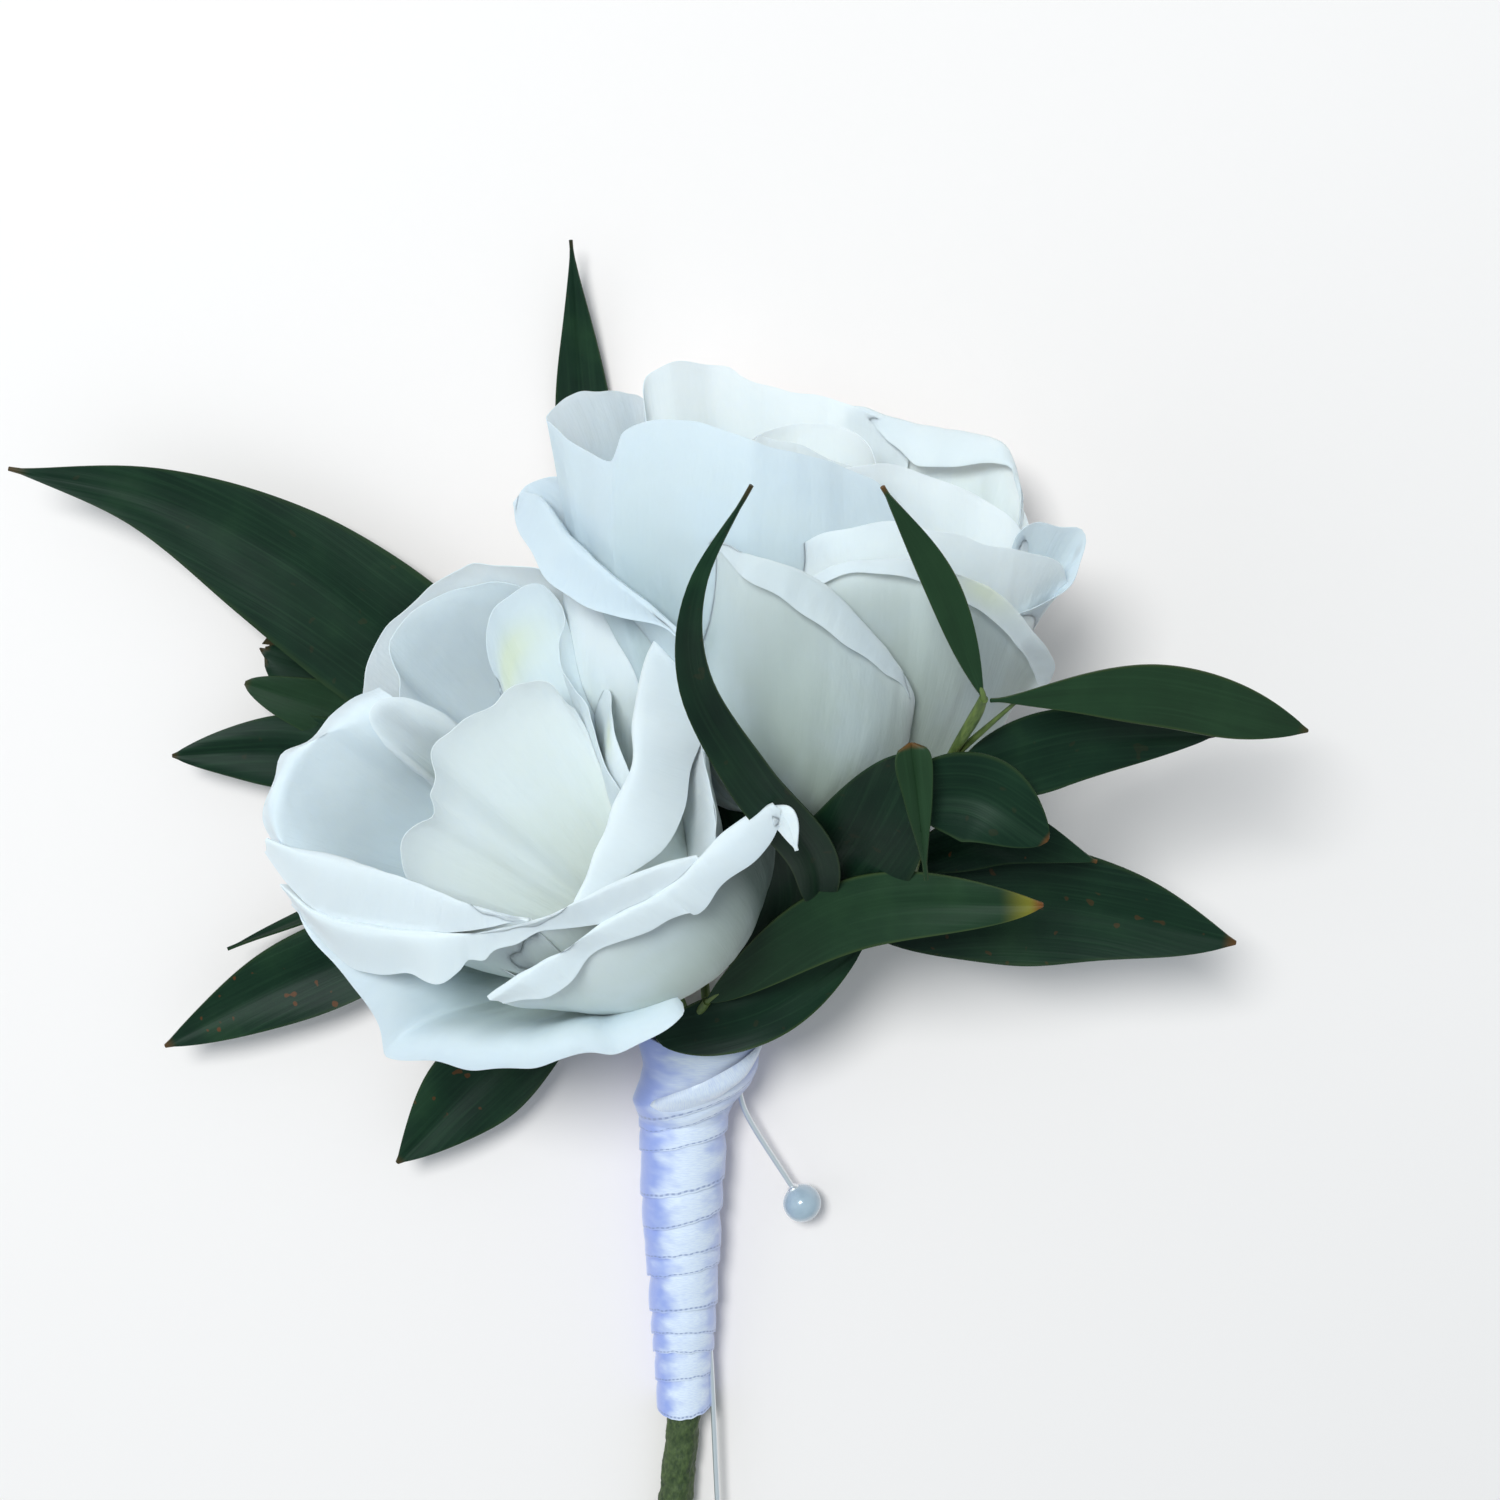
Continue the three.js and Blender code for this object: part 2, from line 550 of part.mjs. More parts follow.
function roseStem(rose, group) {
  const { hip, stem, socket } = rose;
  const profile = [[0, -GAP], [3.4, -GAP], [3.6, -1.4], [2.6, 1 - hip], [0, -hip]];
  const shape = new THREE.LatheGeometry(profile.map((p) => new THREE.Vector2(...p)), 12).rotateX(Math.PI / 2);
  let solid = solidFrom(shape);
  const local = (point) => group.worldToLocal(vector(point)).toArray();
  const roots = rootedPoints(socket).reverse();
  const points = [[0, 0, -1.5], [0, 0, -hip], ...stem.map(local), ...roots.map(local)];
  solid = solid.add(tube(points, ROSE_STEM_RADIUS, 7, 9));
  for (let n = 0; n < 5; n++) {
    const turn = (2 * Math.PI * n) / 5;
    const place = (r, z) => [r * Math.cos(turn), r * Math.sin(turn), z];
    const sepal = { line: [place(2.4, -1.2), place(5.4, -2.2), place(7.5, -4.6)], wide: 2.4, fold: 0 };
    solid = solid.add(blade(leafSurface(sepal), 3, 2, LEAF_THICK));
  }
  return solid;
}

function roseMeshes(rose) {
  const group = roseFrame(rose);
  group.add(meshFrom(rose.name + '_petals', roseHead(rose), MATERIALS.petal));
  group.add(meshFrom(rose.name + '_stem', roseStem(rose, group), MATERIALS.stem));
  return group;
}

const boutonniere = new THREE.Group();
boutonniere.add(roseMeshes(LEFT_ROSE), roseMeshes(RIGHT_ROSE));
boutonniere.add(...SPRIGS.map(sprig));
boutonniere.add(meshFrom('taped_stem', tapedStem(), MATERIALS.tape));
boutonniere.add(meshFrom('ribbon_wrap', ribbonWrap(), MATERIALS.ribbon));
boutonniere.add(...PINS.flatMap(pinMeshes));

export default boutonniere;
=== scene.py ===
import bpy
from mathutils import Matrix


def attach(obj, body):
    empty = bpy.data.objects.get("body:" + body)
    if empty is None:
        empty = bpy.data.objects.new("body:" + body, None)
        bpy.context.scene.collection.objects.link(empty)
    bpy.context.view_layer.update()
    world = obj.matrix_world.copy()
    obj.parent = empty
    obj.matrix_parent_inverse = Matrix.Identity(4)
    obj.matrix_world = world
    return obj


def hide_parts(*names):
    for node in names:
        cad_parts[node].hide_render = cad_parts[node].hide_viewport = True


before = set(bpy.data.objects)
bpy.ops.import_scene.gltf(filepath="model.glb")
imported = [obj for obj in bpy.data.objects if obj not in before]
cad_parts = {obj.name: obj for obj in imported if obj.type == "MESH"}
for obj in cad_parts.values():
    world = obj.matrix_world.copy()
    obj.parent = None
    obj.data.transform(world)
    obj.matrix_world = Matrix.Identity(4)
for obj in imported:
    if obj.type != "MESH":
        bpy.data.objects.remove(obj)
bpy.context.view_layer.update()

import math

import bpy
import numpy as np
from mathutils import Matrix, Vector

# A double boutonniere lying on its back: two white roses, sprigs of long dark leaves, a handle wound
# with satin ribbon over green tape, and two pearl-headed pins. Lengths are in millimetres up to the
# last step of each piece, and MM turns them into metres.
MM = 0.001
BODY = "root"
SHARP_EDGE = math.radians(50)

# The photograph's view: how far the camera stands from the point that it looks at, how far it leans from
# straight above towards the blooms, and how long one pixel of the 1500 is at that point
VIEW_DISTANCE = 290
VIEW_LEAN = math.radians(9)
VIEW_TARGET = np.array([6.6, 37.0, 10.0])
VIEW_PIXEL = 0.12
VIEW_WIDTH = 1500
SENSOR_WIDTH = 36

# The stage, in metres: the lights' names, places, sizes, watts and colours
LIGHTS = [
    ("key", (-0.2, 0.36, 0.85), 0.3, 6.0, (0.89, 0.99, 1.0)),
    ("fill", (-0.7, -0.1, 0.5), 0.6, 0.6, (0.85, 0.95, 1.0)),
]
LIGHT_TARGET = Vector((0, 0.03, 0.02))
SKY_COLOUR = (0.76, 0.92, 1.0, 1)
SKY_STRENGTH = 0.46
FLOOR_COLOUR = (1.0, 0.88, 0.85)
FLOOR_HALF = 1.5
FLOOR_HEIGHT = -0.0002

# Petals, each in its rose's own frame. A point is (angle round the axis in degrees, distance from the
# axis, height along it). A value given as three holds at the start, middle and end of the margin.
#   rim: the free margin, or on a rolled petal the line where it turns over
#   lean: the slope at the rim, 90 upright, over 90 leaning inwards, below 0 hanging
#   edge, drop: a rolled petal's free margin, beyond the rim, and the slope there
#   foot, belly: distance from the axis at the base, and how far the petal swells beyond that
#   heel: two points that the petal passes near, in place of the swelling
#   fall: length of the last bend below the rim
#   pleats: depth and number of folds
#   ragged: unevenness of the margin
#   step: spacing of the grid along the margin
#   warm: warmer and creamier above 0; below 0 cooler and darker, a painted bluish shade
#   painted_shade, lip: how much painted shade darkens the petal, and how much darkens its roll
#   fade: below 1, the rim's pale colour reaches farther down, over the greener foot and its painted shade
#   spot, speck: a yellow and a dark spot, at (-1 to 1 along the margin, 0 to 1 from the foot)
PETAL_FOOT = 0.9
PETAL_ROWS = 26
PETAL_THICK = (0.34, 0.09)
PETAL_WAVE = 0.22
PETAL_RIPPLE = 0.05
MARGIN_WAVE = 0.3
ROLL_ROWS = 12
# Where the roll starts, 0 at the foot to 1 at the edge, and how far below that `lip`'s painted shade sets in
ROLL_START = 0.86
ROLL_BLEND = 0.2
SPOT_SIZE = (0.22, 0.07)
SPECK_SIZE = (0.04, 0.02)
NOWHERE = (9, 9)
GOLDEN_TURN = 137.5
# The core that the petals stand on: height and radius
ROSE_CORE = [(0.2, 3.9), (1.4, 4.4), (3.4, 3.2), (4.4, 0.6)]
HIP_TOP = -0.3
HIP_NECK = 1.45
HIP_SWELL = 2.1
SEPALS = 5
SEPAL = [(2.4, -0.9), (5.4, -2.0), (7.5, -4.6)]
SEPAL_WIDE = 2.6
SEPAL_THICK = 0.45
STRIP_WIDE = 2.6
STRIP_THICK = 0.2
ROSE_STEM_RADIUS = 1.3
LEFT_PETALS = [
    # The broad pleated petal that fills the cup, and the narrow folds beside it
    dict(rim=[(275, 11, 14), (252, 11, 17), (225, 11.5, 22), (206, 12.2, 26), (195, 12.4, 28.4),
      (186, 12, 29.6), (172, 9.8, 31), (163, 8.9, 31), (154, 9.8, 31.6), (140, 10.2, 31.6), (129, 11.6, 32),
      (115, 12.2, 32), (100, 13.2, 32), (88, 15, 32), (78, 15.8, 32), (71, 16.8, 31.2), (62, 16, 28)],
      heel=[(315, 14, 4), (315, 9, 15)], lean=78, foot=1.5, pleats=(0.55, 8), ragged=0.5, warm=1,
      painted_shade=(0.2, 0.16, 0.1), step=0.45),
    dict(rim=[(66, 18.6, 22), (60, 19.6, 25), (55, 19.3, 26.6), (46.8, 17.1, 27.2), (34.2, 15.3, 27),
      (25.8, 14.7, 26.2), (18, 14, 23.6)], lean=(35, 25, 35), belly=5, foot=2, fall=5, spot=(0.1, 0.86)),
    # The small petal over the inner face at the left
    dict(rim=[(146, 16.8, 15), (144, 17.3, 19), (143.3, 17.8, 21.5), (142.7, 18.1, 24), (142, 18.5, 27),
      (141, 19.3, 29.8), (139.8, 20.5, 32), (137, 21.5, 33), (132, 21.8, 33.2), (126, 20.7, 32.2),
      (121, 18.9, 29), (118, 17.4, 24)], lean=62, belly=14.5),
    # The petals at the top, from the inside outwards
    dict(rim=[(101, 17.5, 20), (100, 18.2, 23.5), (98.9, 18.8, 26), (99, 20.1, 28), (97.9, 22.3, 30),
      (95.4, 24.8, 31), (91, 27, 31.3), (85, 28.4, 31.2), (80, 28.2, 31), (75, 26.3, 30.5), (73.8, 24.6, 30),
      (73.6, 21.9, 30), (71.8, 19.8, 29.4), (64, 17.7, 29), (56, 16.4, 28.8), (50.7, 15.2, 28.5),
      (40.2, 13.1, 27), (25, 12.2, 25), (17, 12, 21)], heel=[(330, 10, 3), (350, 8, 14)], lean=65, ragged=0.3,
      spot=(-0.46, 0.78), step=0.5, warm=-0.4, painted_shade=0.12, fade=0.7),
    dict(rim=[(122, 19.6, 22), (124.5, 19.3, 25), (126.4, 19.1, 27), (128.7, 20.4, 28), (128.1, 21.3, 30),
      (124.3, 23, 31), (123.8, 25, 31), (122.4, 26.6, 31.5), (120.7, 27.4, 32), (113, 28.9, 32.5),
      (106, 29.4, 32.5), (99, 29.6, 32), (92, 29.6, 31), (87, 29.4, 28), (85, 28.6, 24)], lean=(66, 72, 75),
      belly=(17, 19, 19), warm=-0.5, fade=0.3),
    dict(rim=[(78, 28.2, 29), (76, 28.8, 30.8), (69, 27.2, 30.7), (58, 26.6, 30.3), (53, 27, 30.2),
      (47, 28, 30), (42, 28.2, 28.5), (36, 27.4, 26)], lean=(36, 24, 46), belly=(6, 7, 9),
      spot=(-0.45, 0.5)),
    dict(rim=[(139, 25, 28.5), (133, 26.3, 30), (127, 27.7, 31), (121, 28.7, 31.7), (113, 29.7, 32.2),
      (106, 30.4, 32.5), (99, 30.8, 32.5), (96, 31.3, 32.5), (90, 30.8, 32), (81, 30, 31.5), (76, 28.6, 31),
      (70, 28, 29)], lean=(80, 80, 84), belly=(18, 18.5, 18), ragged=0.2),
    # The outer petal at the left, whose margin turns outwards
    dict(rim=[(128, 20.5, 30.5), (135, 21.3, 31.6), (142, 21.8, 32.2), (150, 24.6, 32.4), (157, 26, 32.3),
      (166, 26.6, 32.2), (176, 26.6, 30.8), (185, 23.5, 26)], edge=[(130, 24.5, 30.5), (137, 25.8, 31),
      (143, 26.8, 31), (151, 28.1, 30.6), (156, 30.8, 30), (161, 30.4, 29.6), (170, 31, 29), (174, 30.4, 28),
      (178, 29.6, 26), (183, 26.8, 22.5)], lean=60, drop=-35, belly=(16, 19, 19), warm=-0.6, fade=0.35),
    # The band at the right and the petal behind it
    dict(rim=[(52, 27.6, 29.8), (48, 27.1, 30.6), (45, 24.1, 30.8), (40, 21.2, 30.6), (30, 18.2, 30.3),
      (17, 16.3, 29.8), (6, 13.5, 29.2), (-6, 12.4, 28.8), (-17, 11.7, 28.6), (-32, 11.6, 28),
      (-47, 11.8, 27.3)], edge=[(50, 28.2, 29), (42, 28, 29.2), (38, 27, 28), (31, 25.4, 27),
      (23, 24.1, 26.4), (15, 21.6, 26.1), (3, 19.6, 25.8), (-10, 17.7, 25.8), (-22, 15, 26.1),
      (-36, 13.2, 26.6), (-47, 12.2, 26.9)], lean=(90, 100, 115), drop=-55, belly=(12, 14, 16), fall=12),
    dict(rim=[(44, 25.8, 22), (33, 25.5, 26.6), (23.2, 23.75, 26.2), (14.8, 22.95, 25.4), (0.6, 23.05, 24.8),
      (-4, 22.95, 24.4), (-14, 22.45, 23), (-25, 20.95, 19.8)], lean=(45, 30, 45), belly=9, fall=6),
    dict(rim=[(42, 26, 20), (38, 26, 24.5), (33.1, 25.6, 26.8), (23.2, 23.8, 26.4), (14.8, 23, 25.6),
      (0.6, 23.1, 25), (-4, 23, 24.6), (-14, 22.5, 23.2), (-25, 21, 20)], lean=84, belly=(12, 11, 12)),
    # The rolled lips at the lower side, and the broad petal under them
    dict(rim=[(176, 28.4, 30.8), (179, 24.8, 30.3), (184, 19.2, 30), (197, 13, 29.5), (214, 10.4, 29.2),
      (231, 9.4, 29), (267, 9.3, 28.7), (286, 10.8, 28.3)], edge=[(177, 30.4, 28.3), (184, 28.1, 27.3),
      (194, 24.2, 26.8), (209, 18.1, 26.8), (227, 13.9, 27), (252, 11.3, 27.3), (276, 10.6, 28),
      (287, 11, 28)], lean=(75, 118, 110), drop=-35, belly=(19, 13, 8), fall=9),
    dict(rim=[(184, 28.6, 27), (194, 24.4, 26.7), (209, 18, 26.6), (226, 13.8, 26.8), (251, 11.2, 27.1),
      (275, 10.6, 27.8), (289, 11.2, 28.5), (300, 11.8, 28.8), (315, 13.2, 29.2), (332, 16.3, 29.4),
      (341, 19.8, 29.3), (346, 23, 28.6)], edge=[(187, 29.4, 24), (200, 26.2, 22.6), (212, 22.4, 22.2),
      (223, 18.9, 22.9), (230, 18.2, 23), (237, 17.4, 23.5), (243, 15.6, 24.3), (246, 14.3, 24.9),
      (254, 14.2, 24.8), (259, 13.4, 25.4), (272, 12.5, 26.2), (288, 12, 27.4), (294, 12.4, 27.6),
      (307, 14.3, 26.7), (321, 16.9, 26.7), (334, 19.9, 27.2), (341, 22.3, 28), (346, 23.4, 28.2)],
      lean=(50, 92, 100), drop=-40, belly=(19, 10, 14), step=0.5, ragged=0.25),
    # Painted shade darkens this petal's face more and more towards its right end, and its roll a little
    dict(rim=[(258, 17.5, 23.8), (266, 16.2, 24.4), (280, 14.9, 25.2), (295, 14.8, 25.8), (308, 15.2, 26.4),
      (322, 17, 26.8), (334, 20.2, 27.2), (343, 22.6, 28), (352, 25.6, 28.6), (356, 28.5, 29.1),
      (358, 31.1, 29.3)], edge=[(262, 17.4, 22.9), (269, 17, 22.8), (280, 17.2, 22.8), (291, 17, 23.4),
      (303, 16.2, 24.4), (313, 17.3, 25.2), (324, 19.8, 24.9), (332, 22.6, 25.2), (333, 23.2, 24.5),
      (335, 24.2, 24.9), (341, 25.7, 25.7), (348, 29, 26.7), (353, 31, 27.8), (357, 31.9, 28.9)],
      lean=(85, 105, 70), drop=-50, belly=(10, 21.4, 23.4), step=0.5, ragged=0.2, painted_shade=(0, 0.3, 1.5),
      lip=0.07),
    dict(rim=[(184, 29, 24.5), (190, 28.4, 23.5), (203, 26.7, 21), (212, 26.3, 18.5), (218, 27.3, 16),
      (221, 28.7, 14.4), (222, 29.1, 14), (224, 28.6, 14.1), (233, 25.9, 14.6), (248, 23.9, 15),
      (262, 22.7, 14.8), (272, 21.9, 14.5), (281, 21.5, 13.8), (286.5, 21.9, 12.6), (294.5, 21.8, 12.1),
      (303, 22, 11.8), (307, 22, 11.6), (309.5, 21.7, 11.2), (311, 20.6, 10.6)], lean=(50, -32, -5),
      belly=(15, 13, 12), fall=(10, 8, 6), painted_shade=0.22, step=0.6, warm=-0.6, ragged=0.15),
]
RIGHT_PETALS = [
    # The heart
    dict(rim=[(-20, 8, 40), (20, 7, 43), (60, 6.5, 44), (100, 7, 44), (140, 8, 43), (170, 9, 40)], lean=98,
      belly=6, foot=1.5),
    dict(rim=[(150, 8, 42), (190, 7, 44.5), (230, 6, 45.5), (270, 6.5, 45), (310, 8, 42)], lean=98, belly=6,
      foot=1.5),
    dict(rim=[(225, 9, 38), (222, 8.5, 43), (224, 8, 46), (240, 9, 47), (262, 9.6, 46.6), (285, 10.4, 44.8),
      (304, 11.4, 43.4), (318, 13, 42), (330, 15, 39)], heel=[(270, 5, 8), (270, 9, 22)], lean=88,
      painted_shade=(0.2, 0.25, 0.7)),
    # The back
    dict(rim=[(143, 22, 38), (142, 23.5, 43.5), (139.5, 24.9, 46.7), (137.5, 25.1, 47.8), (134.2, 24.5, 48.3),
      (130.8, 23.8, 48.5), (125, 23.2, 48.2), (119.4, 22.9, 47.7), (113.3, 22, 46.8), (110.6, 21.6, 46),
      (104.6, 21.2, 45.1), (97.7, 20.8, 44.5), (90.6, 20.5, 44.1), (78.1, 20.5, 43.3), (69.5, 20.2, 42.3),
      (64, 20.1, 41.3), (58, 20.2, 40), (53, 20.4, 37)], lean=80, belly=16, ragged=0.2),
    dict(rim=[(76, 20.9, 42.6), (70, 20.8, 42.3), (62, 20.8, 41.4), (49, 22, 40.6), (36.5, 25, 40),
      (27, 25.6, 39.8), (24, 26, 38.6), (21.5, 26.3, 36.8), (19, 26.6, 34.5), (17, 26, 30)],
      edge=[(76, 20.7, 42.4), (70, 20.4, 41.8), (63, 19.6, 40.4), (55, 18.6, 39), (49, 18, 38.2),
      (43.3, 17.8, 37.8), (33, 21.4, 38), (24, 24, 38.6), (21.5, 25.2, 38.2), (20.5, 25.7, 36.2),
      (19, 26, 34.2), (17, 25.6, 30)], lean=(80, 85, 75), drop=-105, belly=(13, 15, 16)),
    dict(rim=[(5, 24, 27), (12, 26.4, 32), (30, 27.4, 34), (55, 26.6, 35.5), (80, 25.4, 35.5),
      (98, 24.6, 33)], lean=(70, 75, 80), belly=(18, 17.4, 16.4)),
    dict(rim=[(82, 25, 34), (90, 25.8, 37), (110, 26.3, 38), (130, 27, 38), (150, 27.4, 38), (166, 27.4, 35)],
      lean=(80, 80, 75), belly=(16.6, 17.4, 18)),
    # The left corner at the top
    dict(rim=[(186, 22, 36), (187, 25.4, 42), (186, 27.6, 45.6), (184.2, 28.5, 46.9), (178.6, 28.2, 47.3),
      (172.1, 27.8, 47.5), (163.1, 27.3, 47.5), (156.1, 26.9, 46.9), (150, 26.6, 46.3), (141.5, 26.8, 45.2),
      (135, 27, 44), (131, 26.7, 40)], lean=(70, 55, 80), belly=(17, 19, 19), warm=-0.8),
    # The rims at the right, from the inside outwards
    dict(rim=[(280, 11, 44.5), (301, 12.3, 44.3), (318, 14, 43.4), (328, 16.5, 42), (334, 20, 40.5),
      (337, 23.6, 38.6), (341, 25, 35)], lean=92, belly=17),
    dict(rim=[(335, 23.6, 33), (337, 24.6, 36.6), (341, 26, 37.4), (345, 28.4, 36.6), (347, 30.4, 36),
      (347, 31, 34.8), (345.5, 30.6, 32.6), (343, 29.8, 30.6), (337, 27.6, 29), (331, 25.3, 28)],
      lean=(90, 50, 20), belly=19, fall=7, speck=(0.05, 0.9), warm=-0.7, painted_shade=0.25),
    dict(rim=[(258, 18.2, 35), (264, 18.2, 37.6), (271, 18.6, 39.2), (279, 19.6, 40.2), (287, 20.3, 40.7),
      (305, 21.7, 39.7), (325, 24.7, 37), (340, 29, 33), (345, 29.5, 30)], lean=(95, 90, 50), belly=20,
      ragged=0.2),
    # The large petals in front
    dict(rim=[(185, 28.5, 46.9), (187.1, 27.6, 46.3), (190.7, 26.4, 45.4), (196.8, 24.5, 44.9),
      (200.2, 23.8, 44.6), (203.6, 23.1, 44.6), (205, 22.7, 46), (205.8, 22.3, 47.4), (207.5, 21.5, 48.2),
      (211.3, 20.5, 48.8), (218, 19.4, 49.2), (231, 18.1, 49.6), (248, 16.8, 48.7), (262, 15.7, 47.5),
      (273, 15, 46.4), (286, 14.9, 44.8), (298, 15.6, 42.9), (308, 17.5, 39)], lean=(80, 112, 105),
      belly=(22, 16, 22), fall=14, step=0.5, warm=-0.6, painted_shade=0.25),
    # The yellow spot on this petal's roll is painted yellow-green shade under the rolled margin
    dict(rim=[(262, 22.6, 32), (266, 23.2, 34.6), (272, 23.6, 36.6), (278, 23.6, 37.6), (287, 23.4, 37.6),
      (295, 23.7, 37.2), (301, 24.9, 36.2), (309, 25.6, 34.8), (319, 26.6, 31.7), (328, 27.9, 26.7),
      (338, 28.8, 21.5), (341, 27.4, 18)], edge=[(263, 23.4, 32), (268, 24.3, 34.6), (280, 24.8, 37),
      (293, 25.4, 36.2), (303, 26, 34), (312, 26.8, 31.3), (322, 27.4, 26.6), (331, 27.4, 22.2),
      (337, 28, 18)], lean=(95, 85, 20), drop=-60, belly=(16, 19, 21), spot=(0.12, 0.92),
      painted_shade=(0.35, 0.35, 0.4), lip=0.12),
    dict(rim=[(214, 19.8, 30), (215, 19.8, 35), (218, 19.7, 37.5), (224, 19.5, 38.3), (232, 19.6, 38.6),
      (239, 19.9, 38.5), (246, 21, 38.3), (253, 22.9, 38.1), (262, 25, 37.9), (271, 25.3, 36.1),
      (281, 25.4, 31.6), (290, 25.1, 27), (296, 24.2, 23), (299, 22, 18.4), (299, 20, 15.8), (292, 16, 10.6)],
      edge=[(214, 19.85, 29.9), (215, 19.85, 34.9), (218, 19.8, 37.3), (224, 19.6, 38.1), (232, 19.75, 38.4),
      (239, 20.2, 38.2), (246, 21.8, 37.6), (254, 25.1, 36.7), (262, 26.8, 35.6), (275, 27, 30.6),
      (286, 26.3, 26.2), (295, 24.9, 22.6), (299, 22.4, 18), (299.5, 20.3, 15.4), (292, 16.2, 10.2)],
      lean=(85, 90, 60), drop=-60, belly=(13, 20, 18), warm=(-0.6, 0, 0), painted_shade=(0.3, 0.38, 0.75), lip=0.28),
    # The flap at the left, which lies over the other rose
    dict(rim=[(192, 19, 37), (187, 22.5, 39.6), (182, 26.5, 40), (179, 29.8, 39.4), (179, 31.5, 38.5),
      (182, 32.6, 37), (186, 32, 35)], lean=(60, 40, 40), belly=14, warm=-0.7, painted_shade=0.2),
    dict(rim=[(180, 31.2, 38.2), (184, 29, 38), (190, 27.8, 36.6), (196, 27.1, 35.3), (204, 26.2, 34.4),
      (214, 25.4, 33), (223, 24.6, 31.4), (236, 23.6, 28)], edge=[(181, 33, 37.2), (186, 32.2, 35.4),
      (191, 31.1, 33.9), (198, 30.2, 31.2), (207, 28.3, 30), (218, 26, 29.7), (230, 24, 28.6),
      (238, 23.4, 26)], lean=60, drop=-45, belly=(10, 9, 10), warm=-0.7, painted_shade=0.22, lip=0.2),
]
# The roses: `socket` is where the stem enters the bundle, to the right of its middle and above, `filling`
# are plain petals round the heart, and `strip` is the loose end of a lip
LEFT_ROSE = dict(
    name="rose_left", base=(-10, 18.5, 15), axis=(-0.35, 0.49, 0.81), hip=5,
    socket=(-1.8, 0), stem=[(-6.2, 13.2, 7.8), (-3.4, 7, 6.8)], petals=LEFT_PETALS,
    filling=dict(count=5, radius=9, grow=0.8, height=17, rise=0.6),
    strip=[(357.6, 31, 29.2), (355.5, 32.1, 28), (351, 32.7, 25.4)],
)
RIGHT_ROSE = dict(
    name="rose_right", base=(13, 31.6, 17.2), axis=(0, 0.97, 0.243), hip=6,
    socket=(1.8, 0), stem=[(12.4, 21.6, 13.6), (8, 10.5, 9.8)], petals=RIGHT_PETALS,
    filling=dict(count=4, radius=7, grow=1.2, height=33, rise=0.6),
)

